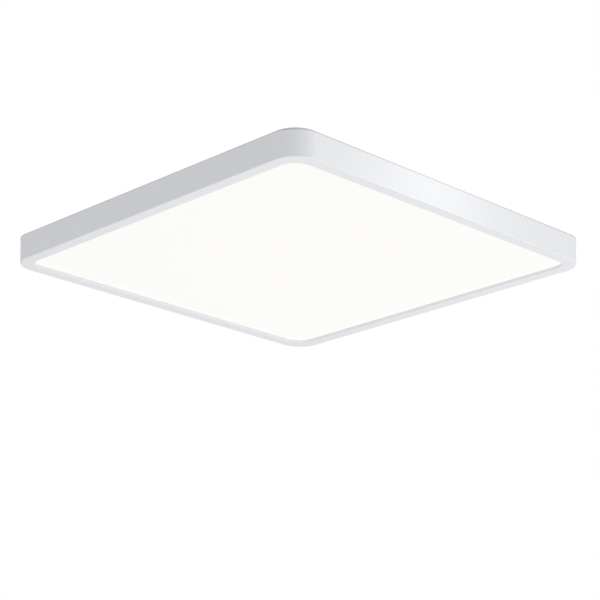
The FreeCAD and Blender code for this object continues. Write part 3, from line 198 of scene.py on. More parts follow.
# Driver
DRIVER_X, DRIVER_Y = middle(*span("driver_lid"))
BOARD_LOW, BOARD_HIGH = span("driver_board")
BOARD_TOP = BOARD_HIGH.z
BOARD_GAP = 2.2              # from the board's ends to the ends of the leads
CASE_WALL = 1.2
CASE_CORNER = 3
LID_RIM = 2
VENT_PITCH = 22
VENT_ROW = 10


# Outlines

def spin(turn):
    return Matrix.Rotation(turn, 3, "Z")


def circle(radius, sides):
    return [(radius * cos(t), radius * sin(t)) for t in arc(0, 360, sides)[:-1]]


def quarter(steps=EDGE_STEPS):
    """How far sine and cosine are below 1 over a quarter turn: from (1, 0) to (0, 1)."""
    return [(1 - sin(a), 1 - cos(a)) for a in arc(0, 90, steps)]


def rectangle(low_x, low_y, high_x, high_y):
    return [(low_x, low_y), (high_x, low_y), (high_x, high_y), (low_x, high_y)]


def rounded_ring(size_x, size_y, radius, z, steps=CORNER_STEPS, centre=(0, 0), turn=0):
    """Points of a rounded rectangle at height z."""
    points = []
    for corner, (sx, sy) in enumerate(((1, 1), (-1, 1), (-1, -1), (1, -1))):
        for angle in arc(90 * corner, 90 * corner + 90, steps):
            x = sx * (size_x / 2 - radius) + radius * cos(angle)
            y = sy * (size_y / 2 - radius) + radius * sin(angle)
            points.append(spin(turn) @ Vector((x, y, z)) + Vector((*centre, 0)))
    return points


def stacked(size_x, size_y, radius, levels, *place):
    """Rounded rectangles one above the other, each level given as its inset and its height."""
    return [rounded_ring(size_x - 2 * inset, size_y - 2 * inset, radius - inset, z, *place) for inset, z in levels]


def rounded(points, radii, steps=6):
    """Path through the points, with an arc at each one that has a radius."""
    points = [Vector(p) for p in points]
    path = []
    for i, (point, radius) in enumerate(zip(points, radii)):
        if radius <= 0:
            path.append(point)
            continue
        back = (points[i - 1] - point).normalized()
        ahead = (points[(i + 1) % len(points)] - point).normalized()
        half = back.angle(ahead) / 2
        centre = point + (back + ahead).normalized() * (radius / sin(half))
        first = point + back * (radius / tan(half)) - centre
        swing = first.angle_signed(point + ahead * (radius / tan(half)) - centre)
        path += [centre + Matrix.Rotation(-swing * k / steps, 2) @ first for k in range(steps + 1)]
    return path


def sheet_section(points, inner_radius, thickness):
    """Outline of a bent sheet: one face follows the points, the other lies to their right."""
    points = [Vector(p) for p in points]
    runs = [(b - a).normalized() for a, b in zip(points, points[1:])]
    rights = [Vector((run.y, -run.x)) for run in runs]
    far = [points[0] + rights[0] * thickness]
    radii = [(0, 0)]
    for point, before, after, run in zip(points[1:], rights, rights[1:], runs[1:]):
        both = (before + after).normalized()
        far.append(point + both * (thickness / both.dot(after)))
        bend = (inner_radius + thickness, inner_radius)
        radii.append(bend if before.dot(run) > 0 else bend[::-1])
    far.append(points[-1] + rights[-1] * thickness)
    near_radii, far_radii = zip(*radii, (0, 0))
    return rounded(points, near_radii) + rounded(far, far_radii)[::-1]


def spaced(pitch, reach):
    count = int(reach // pitch)
    return [i * pitch for i in range(-count, count + 1)]


# Forms that are added to a mesh

def skin(bm, rings, closed=False, first=False, last=False):
    """Faces between rings of equal count or of one point, and a cap on the first or last one."""
    rows = [[bm.verts.new(p) for p in ring] for ring in rings]
    for low, high in zip(rows, rows[1:] + rows[:1] if closed else rows[1:]):
        for i in range(max(len(low), len(high))):
            corners = [row[k % len(row)] for row, k in ((low, i - 1), (low, i), (high, i), (high, i - 1))]
            bm.faces.new(list(dict.fromkeys(corners)))
    if first:
        bm.faces.new(rows[0])
    if last:
        bm.faces.new(rows[-1])


def capped(bm, rings):
    skin(bm, rings, first=True, last=True)


def lathe(bm, profile, place=(0, 0), sides=32, rotation=Matrix.Identity(3), closed=False):
    """Turned form about a place, from pairs of radius and height: upwards from axis to axis, or a closed ring."""
    place = Vector((*place, 0)[:3])
    skin(bm, [[rotation @ Vector((x, y, z)) + place for x, y in (circle(radius, sides) if radius > 0 else [(0, 0)])]
              for radius, z in profile], closed)


def collar(bm, profile, place, sides):
    lathe(bm, profile, place, sides, closed=True)


def bar(bm, axis, place, radius, low, high, sides=32):
    """Round bar about a place, between two heights along an axis."""
    lathe(bm, [(0, low), (radius, low), (radius, high), (0, high)], place, sides, axis)


def prism(bm, outline, low, high, place=(0, 0), turn=0):
    """Upright prism of a flat outline, turned and then moved to a place."""
    capped(bm, [[spin(turn) @ Vector((x, y, z)) + Vector((*place, 0)) for x, y in outline] for z in (low, high)])


def rod(bm, centre, radius, low, high, sides=24):
    prism(bm, circle(radius, sides), low, high, centre)


def block(bm, low, high):
    prism(bm, rectangle(*low[:2], *high[:2]), low[2], high[2])


def extruded(bm, profile, low, high, turn=0):
    """Prism of a profile in y and z between two places along x, turned about the lamp's axis."""
    capped(bm, [[spin(turn) @ Vector((x, y, z)) for y, z in profile] for x in (low, high)])


def slab(bm, size_x, size_y, radius, low, high, centre=(0, 0), steps=8, low_edge=0, high_edge=0):
    """Block with rounded corners, and rounded edges below and above if they have a size."""
    levels = [(low_edge * u, low + low_edge * v) for u, v in (quarter(3) if low_edge else [(0, 0)])]
    levels += [(high_edge * u, high - high_edge * v) for u, v in (quarter(3)[::-1] if high_edge else [(0, 0)])]
    capped(bm, stacked(size_x, size_y, radius, levels, steps, centre))


# Pieces

def placed(name, data):
    thing = bpy.data.objects.new(name, data)
    bpy.context.scene.collection.objects.link(thing)
    return thing


def linked(name, bm, unit=MM):
    """Object of a mesh whose unit is given in metres."""
    bmesh.ops.scale(bm, vec=(unit, unit, unit), verts=bm.verts)
    bmesh.ops.remove_doubles(bm, verts=bm.verts, dist=1e-7)
    bmesh.ops.recalc_face_normals(bm, faces=bm.faces)
    mesh = bpy.data.meshes.new(name)
    bm.to_mesh(mesh)
    bm.free()
    return placed(name, mesh)


def merged(piece):
    """Mesh of an object in metres, with its doubled points merged."""
    bm = bmesh.new()
    bm.from_mesh(piece.data)
    bmesh.ops.remove_doubles(bm, verts=bm.verts, dist=1e-6)
    return bm


def islands(node):
    """Boxes of a node's separate solids, each as its lowest and highest corner."""
    bm = merged(frame["nodes"][node])
    waiting = set(bm.verts)
    boxes = []
    while waiting:
        stack = [waiting.pop()]
        found = []
        while stack:
            vert = stack.pop()
            found.append(vert.co.copy())
            near = {edge.other_vert(vert) for edge in vert.link_edges} & waiting
            waiting -= near
            stack += near
        boxes.append([Vector([pick(c[k] for c in found) for k in range(3)]) for pick in (min, max)])
    bm.free()
    return [(low / MM, high / MM) for low, high in sorted(boxes, key=lambda b: tuple(b[0]))]


def evaluated(thing):
    """Mesh that an object's curve or modifier gives."""
    bpy.context.view_layer.update()
    return bpy.data.meshes.new_from_object(thing.evaluated_get(bpy.context.evaluated_depsgraph_get()))


def modified(piece, kind, **settings):
    """Applies one modifier to a piece."""
    modifier = piece.modifiers.new(kind, kind)
    for setting, value in settings.items():
        setattr(modifier, setting, value)
    mesh = evaluated(piece)
    old = piece.data
    piece.modifiers.clear()
    piece.data = mesh
    bpy.data.meshes.remove(old)


def bevel(piece, width, segments=2, angle=30):
    modified(piece, "BEVEL", width=width * MM, segments=segments, limit_method="ANGLE", angle_limit=radians(angle))


def made(name, forms, *steps, edges=None):
    """Piece from forms, each its function and arguments. A step is ADD, CUT or KEEP and its forms, and the edges
    are the arguments of their bevel."""
    bm = bmesh.new()
    for make, *arguments in forms:
        make(bm, *arguments)
    piece = linked(name, bm)
    for operation, *tools in steps:
        combine(piece, made("tool", tools), operation)
    if edges:
        bevel(piece, *edges)
    return piece


def combine(piece, other, operation):
    """Boolean with another object, which is then removed."""
    modified(piece, "BOOLEAN", operation=operation, solver="EXACT", object=other)
    bpy.data.objects.remove(other)


def finish(piece, body, slot, look=None):
    """Cleans and shades a piece and gives it its material and its body."""
    bm = merged(piece)
    bmesh.ops.dissolve_degenerate(bm, dist=1e-6, edges=bm.edges)
    bm.to_mesh(piece.data)
    bm.free()
    piece.data.shade_smooth()
    piece.data.set_sharp_from_angle(angle=radians(35))
    modified(piece, "WEIGHTED_NORMAL", keep_sharp=True)
    piece.data.materials.clear()
    piece.data.materials.append(MATERIALS[look or slot])
    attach(piece, body)


def stand_for(piece, node):
    """Finishes a piece that takes a node's place, with the node's body and material."""
    finish(piece, BODY_OF[node], SLOT_OF[node])
    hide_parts(node)


def remake(node, name, forms, *steps, edges=None):
    """Makes a piece that takes a node's place."""
    stand_for(made(name, forms, *steps, edges=edges), node)


def extra(name, slot, forms, edges=None, look=None):
    """Makes a piece of the lamp that no node stands for."""
    finish(made(name, forms, edges=edges), "lamp", slot, look)


# Materials

def preset(node, **values):
    """Node with values for its inputs, where an underscore in a name stands for a space."""
    for name, value in values.items():
        node.inputs[name.replace("_", " ")].default_value = value
    return node


def new_node(beside, kind, **values):
    return preset(beside.id_data.nodes.new(f"ShaderNode{kind}"), **values)


def join(source, output, target, socket):
    source.id_data.links.new(source.outputs[output], target.inputs[socket])


def new_material(name, base, roughness, **values):
    """Shader of a new material."""
    MATERIALS[name] = bpy.data.materials.new(name)
    MATERIALS[name].use_nodes = True
    shader = MATERIALS[name].node_tree.nodes["Principled BSDF"]
    return preset(shader, Base_Color=(*base, 1), Roughness=roughness, **values)


def noise_over(shader, scale, detail=3, stretch=1):
    """Noise over the object; scale is in features per metre, times the stretch along x."""
    mapping = new_node(shader, "Mapping", Scale=(scale * stretch, scale, scale))
    noise = new_node(shader, "TexNoise", Scale=1, Detail=detail)
    join(new_node(shader, "TexCoord"), "Object", mapping, "Vector")
    join(mapping, "Vector", noise, "Vector")
    return noise


def tinted(shader, source, output, low, high, socket="Base Color", places=(0.3, 0.7)):
    """Colour that runs from low to high between two places in the source's range."""
    ramp = new_node(shader, "ValToRGB")
    for stop, place, colour in zip(ramp.color_ramp.elements, places, (low, high)):
        stop.position = place
        stop.color = (*colour, 1)
    join(source, output, ramp, "Fac")
    join(ramp, "Color", shader, socket)


def bumped(shader, source, depth):
    bump = new_node(shader, "Bump", Strength=1, Distance=depth * MM)
    join(source, "Fac", bump, "Height")
    join(bump, "Normal", shader, "Normal")


def textured(name, base, roughness, grain, depth, spread, stretch=None):
    """Surface with slightly uneven colour and gloss and a fine relief. A metal gives its grain's stretch."""
    shader = new_material(name, base, roughness, Metallic=1 if stretch else 0)
    broad = noise_over(shader, grain * 0.08, 4)
    fine = noise_over(shader, grain, 3, stretch or 1)
    tinted(shader, broad, "Fac", [c * (1 - spread) for c in base], base)
    gloss = new_node(shader, "MapRange", From_Min=0.3, From_Max=0.7, To_Min=roughness * 0.85,
                     To_Max=roughness * 1.15)
    join(fine, "Fac", gloss, "Value")
    join(gloss, "Result", shader, "Roughness")
    bumped(shader, fine, depth)


def opal():
    """Lit opal sheet: even light with a faint cloudiness."""
    shader = new_material("opal_diffuser", (0.3, 0.3, 0.295), 0.45, Emission_Strength=0.665)
    cloud = noise_over(shader, 60, 2)
    tinted(shader, cloud, "Fac", (0.995, 0.978, 0.95), (1, 0.983, 0.955), "Emission Color")
    bumped(shader, noise_over(shader, 9000, 2), 0.01)


def acrylic():
    """Light guide: clear acrylic with a grid of light-spreading dots."""
    shader = new_material("clear_acrylic", (0.92, 0.95, 0.96), 0.08, Alpha=0.6, IOR=1.49)
    dots = new_node(shader, "TexVoronoi", Scale=450, Randomness=0)
    join(new_node(shader, "TexCoord"), "Object", dots, "Vector")
    tinted(shader, dots, "Distance", (1, 1, 1), (0.82, 0.88, 0.9))


def striped_wire():
    """Earth lead: green insulation with a yellow stripe wound round it."""
    green = (0.05, 0.28, 0.04)
    shader = new_material("wire_green", green, 0.4)
    wave = new_node(shader, "TexWave", Scale=90)
    wave.bands_direction = "DIAGONAL"
    join(new_node(shader, "TexCoord"), "Object", wave, "Vector")
    tinted(shader, wave, "Fac", green, (0.75, 0.66, 0.03), places=(0.55, 0.6))


# Colour, roughness, grains per metre, depth of the relief, spread of the colour, and a metal's stretch
SURFACES = {
    "white_plastic": ((0.86, 0.865, 0.88), 0.42, 2500, 0.012, 0.012),
    "white_film": ((0.9, 0.9, 0.9), 0.6, 4000, 0.005, 0.02),
    "foam": ((0.8, 0.81, 0.81), 0.95, 1800, 0.25, 0.08),
    "bare_aluminium": ((0.76, 0.77, 0.78), 0.34, 900, 0.01, 0.06, 0.05),
    # The pan's grey-green is darker than its own paint. It is painted shade for the dark gap line along the frame's
    # top edge.
    "painted_steel": ((0.63, 0.65, 0.6), 0.5, 1100, 0.03, 0.03),
    "zinc_steel": ((0.66, 0.67, 0.68), 0.38, 700, 0.008, 0.12, 1),
    "spring_steel": ((0.6, 0.6, 0.59), 0.28, 1500, 0.008, 0.06, 0.06),
    "zinc_screw": ((0.7, 0.7, 0.68), 0.3, 2500, 0.005, 0.1, 1),
    "brass": ((0.78, 0.58, 0.25), 0.3, 2000, 0.006, 0.12, 1),
    "tinned_copper": ((0.74, 0.72, 0.68), 0.36, 2000, 0.006, 0.1, 1),
    "grey_rubber": ((0.12, 0.125, 0.13), 0.75, 1500, 0.02, 0.15),
    "box_plastic": ((0.8, 0.8, 0.79), 0.5, 1600, 0.02, 0.04),
    "terminal_plastic": ((0.72, 0.74, 0.7), 0.3, 1200, 0.01, 0.05),
    "black_plastic": ((0.03, 0.03, 0.033), 0.5, 1800, 0.02, 0.2),
    "driver_plastic": ((0.78, 0.79, 0.78), 0.52, 1400, 0.02, 0.05),
    "circuit_board": ((0.025, 0.15, 0.055), 0.32, 900, 0.01, 0.2),
    "masked_copper": ((0.06, 0.26, 0.09), 0.3, 900, 0.01, 0.1),
    "enamelled_copper": ((0.5, 0.16, 0.06), 0.28, 2500, 0.01, 0.15),
    "white_board": ((0.85, 0.85, 0.82), 0.4, 1500, 0.01, 0.03),
    "led_phosphor": ((0.85, 0.66, 0.16), 0.4, 3000, 0.01, 0.1),
    "ferrite": ((0.05, 0.05, 0.055), 0.6, 2200, 0.03, 0.2),
    "capacitor_sleeve": ((0.03, 0.035, 0.07), 0.25, 800, 0.01, 0.15),
    "wire_brown": ((0.16, 0.06, 0.025), 0.4, 1500, 0.01, 0.1),
    "wire_blue": ((0.02, 0.09, 0.45), 0.4, 1500, 0.01, 0.1),
    "wire_white": ((0.8, 0.8, 0.78), 0.4, 1500, 0.01, 0.05),
    "pale_floor": ((0.8, 0.8, 0.79), 0.7, 8, 0.2, 0.03),
}
MATERIALS = {}
for surface_name, surface in SURFACES.items():
    textured(surface_name, *surface)
opal()
acrylic()
striped_wire()


# Frame and back pan

def frame_rings():
    """Rings of the section: down the wall, under the rim, up the opening, out along the ledge and up inside."""
    lean = WALL_LEAN * (1 - LOWER_EDGE / (FRAME_TOP - RIM_Z))
    outside = [(TOP_EDGE, FRAME_TOP), (0, FRAME_TOP - TOP_EDGE), (lean / 2, (RIM_Z + LOWER_EDGE + FRAME_TOP) / 2)]
    outside += [(lean + LOWER_EDGE * v, RIM_Z + LOWER_EDGE * u) for u, v in quarter()]
    opening = [(RIM_WIDTH - OPENING_EDGE * u, RIM_Z + OPENING_EDGE * v) for u, v in quarter()]
    opening.append((RIM_WIDTH, DIFFUSER_Z))
    inside = [(WALL, DIFFUSER_Z), (WALL, FRAME_TOP - TOP_EDGE), (WALL - TOP_EDGE, FRAME_TOP)]
    return (stacked(SIDE, SIDE, CORNER_RADIUS, outside) + stacked(SIDE, SIDE, OPENING_RADIUS + RIM_WIDTH, opening)
            + stacked(SIDE, SIDE, CORNER_RADIUS, inside))


def add_frame():
    """Moulding with snap catches, ribs, and a webbed screw boss in each corner."""
    root = -SIDE / 2 + WALL
    foot = DIFFUSER_Z - SLIP
    hook = span("led_rail_front")[1].z + SLIP
    catch = [(0.4, foot), (2, foot), (2, hook), (3.6, hook), (4, hook + 0.3), (4, hook + 0.8),
             (2.2, hook + 2.4), (0.4, hook + 2.4)]
    rib = [(-SLIP, foot), (RIB_DEPTH, foot), (RIB_DEPTH, foot + 0.6), (0.4, foot + RIB_HEIGHT),
           (-SLIP, foot + RIB_HEIGHT)]
    catches = spaced(CATCH_PITCH, SIDE / 2 - CATCH_CLEAR)
    room = (CATCH_WIDTH + RIB_THICKNESS) / 2 + 1
    ribs = [x for x in spaced(RIB_PITCH, SIDE / 2 - CORNER_RADIUS) if all(abs(x - c) > room for c in catches)]
    details = [(extruded, [(root + y, z) for y, z in profile], x - width / 2, x + width / 2, turn)
               for turn in TURNS
               for profile, width, places in ((catch, CATCH_WIDTH, catches), (rib, RIB_THICKNESS, ribs))
               for x in places]
    top = PAN_TOP - DIMPLE_DEPTH - PAN_SHEET
    boss = [(0, foot), (BOSS_RADIUS + 0.5, foot), (BOSS_RADIUS, foot + 1), (BOSS_RADIUS, top), (0, top)]
    corners = [middle(low, high) for low, high in islands("pan_screws") if abs(low.x) > 0.4 * SIDE]
    web = rectangle(-RIB_THICKNESS / 2, foot, RIB_THICKNESS / 2, FRAME_TOP - WALL)
    reach = sqrt(2) * (SIDE / 2 - CORNER_RADIUS) + CORNER_RADIUS - WALL + SLIP
    remake("frame", "light_frame", [(skin, frame_rings(), True)],
           (ADD, *details, *[(lathe, boss, corner) for corner in corners]),
           (ADD, *[(extruded, web, hypot(x, y), reach, atan2(y, x)) for x, y in corners]),
           (CUT, *[(rod, corner, SMALL_SCREW[0] + SLIP, DIFFUSER_Z + WALL, 0) for corner in corners]))


def drawn(size_x, size_y, radius, depth, top_bend, floor_bend, steps, centre, turn=0, lean=0):
    """Rings of a drawn recess, from its rolled upper edge down to its floor."""
    levels = [(-top_bend * u, PAN_TOP - top_bend * v) for u, v in quarter()]
    levels += [(lean + floor_bend * v, PAN_TOP - depth + floor_bend * u) for u, v in quarter()]
    return stacked(size_x, size_y, radius, levels, steps, centre, turn)


def pan_features():
    """Rings of the bracket's recess, the switch's pocket, the stiffening beads and the screws' dimples."""
    beside = SIDE / 2 - BEAD_INSET
    bead = (BEAD_LENGTH, BEAD_WIDTH, BEAD_WIDTH / 2, BEAD_DEPTH, 0.4, 0.4, 6)
    dimple = (2 * DIMPLE_RADIUS, 2 * DIMPLE_RADIUS, DIMPLE_RADIUS, DIMPLE_DEPTH, 0.6, 0.5, 6)
    return [
        drawn(RECESS_HIGH_X - RECESS_LOW_X, 2 * RECESS_HALF_Y, 8, PAN_TOP - PAN_FLOOR, 0.8, 1.6, 10,
              ((RECESS_LOW_X + RECESS_HIGH_X) / 2, 0)),
        drawn(34, 16, 4, 4, 0.7, 1, 8, middle(*span("colour_switch_body"))),
        *[drawn(*bead, (0, side * beside), 0, 0.9) for side in BOTH],
        *[drawn(*bead, (side * beside, 0), pi / 2, 0.9) for side in BOTH],
        *[drawn(*dimple, middle(*screw)) for screw in islands("pan_screws")],
    ]


def pan_holes():
    """Bars for every hole in the pan: screws, rivets, the grommet and the switch's window."""
    bores = {"pan_screws": 1.35, "box_screws": 1.35, "switch_rivets": 1.35, "clip_rivets": 1.7}
    forms = [(rod, middle(low, high), radius, low.z - 1, high.z + 1)
             for node, radius in bores.items() for low, high in islands(node)]
    low, high = span("lead_grommet")
    tall = (high.z - low.z) / 2 - 1.2
    straight = (high.y - low.y) / 2 - 1.2 - tall
    oval = [((straight if cos(t) > 0 else -straight) + y, LEAD_Z + z)
            for t, (y, z) in zip(arc(0, 360, 24), circle(tall, 24))]
    forms.append((extruded, oval, low.x - 1, high.x + 1))
    forms.append((slab, 10.4, 3.5, 0.4, PAN_TOP - 8, PAN_TOP, middle(*span("colour_switch_slider")), 3))
    return forms


def add_pan():
    """Drawn sheet: the flat is filled round the features, then everything gets its thickness."""
    size = SIDE - 2 * PAN_INSET
    lip = [(0, FRAME_TOP)] + [(PAN_BEND * v, PAN_TOP - PAN_BEND * u) for u, v in quarter()]
    bm = bmesh.new()
    skin(bm, stacked(size, size, PAN_CORNER, lip))
    for rings in pan_features():
        skin(bm, rings, last=True)
    bmesh.ops.remove_doubles(bm, verts=bm.verts, dist=0.001)
    rims = [e for e in bm.edges if len(e.link_faces) == 1 and all(v.co.z > PAN_TOP - 0.001 for v in e.verts)]
    bmesh.ops.triangle_fill(bm, use_beauty=True, edges=rims, normal=(0, 0, 1))
    piece = linked("rear_pan", bm)
    if max(piece.data.polygons, key=lambda face: face.area).normal.z < 0:
        piece.data.flip_normals()
    modified(piece, "SOLIDIFY", thickness=PAN_SHEET * MM, offset=-1, use_even_offset=True, use_quality_normals=True)
    combine(piece, made("holes", pan_holes()), CUT)
    stand_for(piece, "back_pan")


# Bracket, clips and bush

def add_bracket():
    """Hat channel with round bends, cut to its outline, slotted and pierced."""
    low, high = span("ceiling_bracket")
    lip_top = low.z + BRACKET_SHEET
    half_y = high.y - LIP_WIDTH
    face = [(low.y, lip_top), (-half_y, lip_top), (-half_y, high.z), (half_y, high.z), (half_y, lip_top),
            (high.y, lip_top)]
    cuts = [(slab, SLOT_LENGTH, SLOT_WIDTH, SLOT_WIDTH / 2 - 0.01, -3, 1, (side * SLOT_SPACING / 2, 0), 12)
            for side in BOTH]
    cuts.append((rod, (0, 0), CABLE_HOLE, -3, 1, 64))
    cuts.append((rod, middle(*span("bracket_earth_screw")), EARTH_SCREW[0] + 0.05, -3, 1, 32))
    half = WINDOW_HEIGHT / 2
    for x in (-CLIP_PITCH / 2, CLIP_PITCH / 2):
        window = rectangle(x - WINDOW_LENGTH / 2, low.z / 2 - half, x + WINDOW_LENGTH / 2, low.z / 2 + half)
        cuts.append((extruded, rounded(window, [0.8] * 4), 2 * low.y, 2 * high.y, pi / 2))
    remake("ceiling_bracket", "ceiling_plate",
           [(extruded, sheet_section(face, BRACKET_BEND, BRACKET_SHEET), low.x, high.x)],
           (KEEP, (slab, high.x - low.x, high.y - low.y, LIP_CORNER, low.z - 1, high.z + 1)), (CUT, *cuts),
           edges=(0.12, 1, 50))


def add_clips():
    """Four leaf springs of one form, each turned to its side of the bracket."""
    bracket_low, bracket_high = span("ceiling_bracket")
    foot_low, foot_high = span("spring_clip_back_right")
    seat = foot_low.z + CLIP_SHEET
    upright = bracket_high.y + CLIP_STANDOFF + CLIP_SHEET
    nose = bracket_high.y - CLIP_BITE + CLIP_SHEET
    catch = bracket_low.z + BRACKET_SHEET + SPRING_GAP
    shoulder = catch - CLIP_STANDOFF * CLIP_SLOPE + CLIP_SHEET
    tip = catch + CLIP_BITE * CLIP_SLOPE
    face = [(foot_high.y, seat), (upright, seat), (upright, shoulder), (nose, tip + CLIP_SHEET),
            (nose + CLIP_FLARE, tip + CLIP_FLARE)]
    profile = sheet_section(face, CLIP_BEND, CLIP_SHEET)
    rivets = [middle(*rivet) for rivet in islands("clip_rivets")]
    for name in ("front_left", "front_right", "back_left", "back_right"):
        low, high = span(f"spring_clip_{name}")
        hole = min(rivets, key=lambda rivet: (Vector(rivet) - Vector(middle(low, high))).length)
        ends, turn = ((low.x, high.x), 0) if low.y > 0 else ((-high.x, -low.x), pi)
        remake(f"spring_clip_{name}", f"leaf_spring_{name}", [(extruded, profile, *ends, turn)],
               (CUT, (rod, hole, CLIP_RIVET[0] + 0.05, foot_low.z - 1, foot_low.z + 2)), edges=(0.08, 1, 50))


def add_bush():
    """Soft cable bush: its sleeve, its flange below the web and a rolled edge."""
    low = span("cable_bush")[0].z
    flange = CABLE_HOLE + BUSH_FLANGE
    bore = CABLE_HOLE - BUSH_WALL
    sleeve = CABLE_HOLE - 0.05
    seat = -BRACKET_SHEET - 0.05
    roll = BUSH_WALL / 2
    profile = [(bore, -SLIP), (bore, -BRACKET_SHEET)]
    profile += [(bore + roll * v, low + roll * u) for u, v in quarter(5)]
    profile += [(flange - roll * u, low + roll * v) for u, v in quarter(5)]
    profile += [(flange, seat), (sleeve, seat), (sleeve, -SLIP)]
    remake("cable_bush", "soft_bush", [(collar, profile, (0, 0), 64)])


# Fasteners, with their seats at z = 0

def screw(bm, shank, head, height, length):
    """Pan head above and threaded shank below."""
    root = shank * 0.8
    profile = [(0, -length), (shank * 0.55, -length)]
    z = -length + THREAD_PITCH
    while z < -0.99 * THREAD_PITCH:
        profile += [(root, z - THREAD_PITCH / 2), (shank, z)]
        z += THREAD_PITCH
    profile += [(root, z - THREAD_PITCH / 2), (root, 0), (head * 0.97, 0), (head, height * 0.06),
                (head, height * 0.35)]
    profile += [(head * (0.45 + 0.55 * cos(a)), height * (0.35 + 0.65 * sin(a))) for a in arc(10, 90, 6)]
    lathe(bm, profile + [(0, height)])


def cross(bm, reach, width, height):
    """Tapered cross that cuts the recess of a screw head."""
    corner = [(reach, -width / 2), (reach, width / 2), (width / 2, width / 2)]
    capped(bm, [[spin(turn) @ Vector((x * share, y * share, z)) for turn in TURNS for x, y in corner]
                for share, z in ((0.35, height * 0.1), (1, height), (1, height * 1.5))])


def rivet(bm, shank, head, height, length):
    """Blind rivet: a domed head with the broken pin's dimple, and a bulged tail."""
    profile = [(0, -length - height), (shank, -length - height), (head * 0.8, -length - height * 0.6),
               (head * 0.8, -length), (shank, -length), (shank, 0), (head, 0)]
    profile += [(head * (0.4 + 0.6 * cos(a)), height * (0.2 + 0.8 * sin(a))) for a in arc(0, 90, 6)]
    lathe(bm, profile + [(head * 0.36, height), (head * 0.32, height * 0.55), (0, height * 0.5)])


def scatter(node, name, source, height, hanging=False):
    """Makes one piece with a copy of the source at each solid of the node."""
    bm = bmesh.new()
    for k, (low, high) in enumerate(islands(node)):
        seat = low.z + height if hanging else high.z - height
        place = Matrix.Translation(Vector((*middle(low, high), seat)) * MM)
        turned = Matrix.Rotation(pi if hanging else 0, 4, "X") @ Matrix.Rotation(k * GOLDEN_TURN, 4, "Z")
        count = len(bm.verts)
        bm.from_mesh(source.data)
        bm.verts.ensure_lookup_table()
        bmesh.ops.transform(bm, matrix=place @ turned, verts=bm.verts[count:])
    bpy.data.objects.remove(source)
    joined = bpy.data.meshes.new(name)
    bm.to_mesh(joined)
    bm.free()
    stand_for(placed(name, joined), node)


def add_fasteners():
    for node in ("rail_screws", "pan_screws", "box_screws", "clamp_screws", "driver_screws", "earth_screw",
                 "bracket_earth_screw"):
        shank, head, height = EARTH_SCREW if "earth" in node else SMALL_SCREW
        if node == "pan_screws":
            height -= SLIP
        if node == "clamp_screws":
            height = min(height, span("terminal_box")[1].z - SLIP - span("cable_clamp")[0].z - SADDLE_THICKNESS)
        low, high = islands(node)[0]
        source = made("screw", [(screw, shank, head, height, high.z - low.z - height)],
                      (CUT, (cross, head * 0.62, head * 0.2, height)))
        scatter(node, f"crossed_{node}", source, height, node == "bracket_earth_screw")
    for node, (shank, head, height) in (("clip_rivets", CLIP_RIVET), ("switch_rivets", SWITCH_RIVET)):
        low, high = islands(node)[0]
        tail = height if node == "clip_rivets" else 0
        source = made("rivet", [(rivet, shank, head, height, high.z - low.z - height - tail)])
        scatter(node, f"domed_{node}", source, height)


# Leads

def lead(bm, points, radius):
    """Smooth lead that follows its route's points."""
    curve = bpy.data.curves.new("route", "CURVE")
    curve.dimensions = "3D"
    spline = curve.splines.new("NURBS")
    spline.points.add(len(points) - 1)
    for knot, point in zip(spline.points, points):
        knot.co = (*point, 1)
    spline.order_u = 3
    spline.use_endpoint_u = True
    spline.resolution_u = 8
    curve.bevel_depth = radius
    curve.bevel_resolution = 4
    curve.use_fill_caps = True
    route = placed("route", curve)
    mesh = evaluated(route)
    bm.from_mesh(mesh)
    bpy.data.objects.remove(route)
    bpy.data.meshes.remove(mesh)


def mains_start(k):
    """Straight way out of the terminal block, through the grommet."""
    start = span("terminal_block")[1].x
    pole, hole = k * POLE_PITCH, k * MAINS_SPACING
    bends = [(start + 5, pole), (start + 12, hole)] if k else []
    return [(start, pole), *bends, (RECESS_HIGH_X + 9.5, hole)]


def supply_route(k):
    """Round the recess corner to the driver."""
    end = BOARD_HIGH.x + BOARD_GAP
    x = 148 - k * MAINS_SPACING
    y = 105 - k * MAINS_SPACING
    flat = mains_start(k) + [(x - 5, 12 + k * 2), (x + 1, 34), (x - 1, 58), (x - 10, 82 - k * 3), (x - 31, y - 6),
                             (end + 44, y - 2), (end + 20, y), (end, y)]
    return [Vector((x, y, LEAD_Z)) for x, y in flat]


def earth_route():
    """Down to the lug on the inner plate."""
    x, y = 151, -58
    end = PLATE_TOP + 1.7
    flat = [(*point, LEAD_Z) for point in mains_start(-1)]
    return flat + [(x - 6, -12, LEAD_Z), (x, -26, LEAD_Z - 2), (x, y + 20, end), (x, y + 8, end)]


def led_route(k):
    """From the driver down to the pads of the left strip."""
    end = BOARD_LOW.x - BOARD_GAP
    start = -9
    y = 107 + k * FINE_SPACING
    pad_y = STRIP_PAD_Y + k * PAD_SPACING
    return [Vector(point) for point in (
        (end, y, start), (end - 14, y, start), (end - 32, y + 8, start - 1), (end - 52, y + 24, start - 2),
        (end - 74, (y + pad_y) / 2 + 12, start - 3), (26 - STRIP_LEAD, pad_y - 6, start - 3),
        (8 - STRIP_LEAD, pad_y, start - 4), (-STRIP_LEAD, pad_y, PLATE_TOP), (-STRIP_LEAD, pad_y, STRIP_PAD_Z),
        (-STRIP_PAD, pad_y, STRIP_PAD_Z))]


def switch_route(k):
    """From the colour switch to the driver."""
    end = BOARD_LOW.x - BOARD_GAP
    x = -105 + k * FINE_SPACING
    y = 95 - k * FINE_SPACING
    flat = [(x, 34), (x, 46), (x - 2, 64), (x + 3, y - 12), (end - 12, y), (end, y)]
    return [(*point, SWITCH_LEAD_Z) for point in flat]


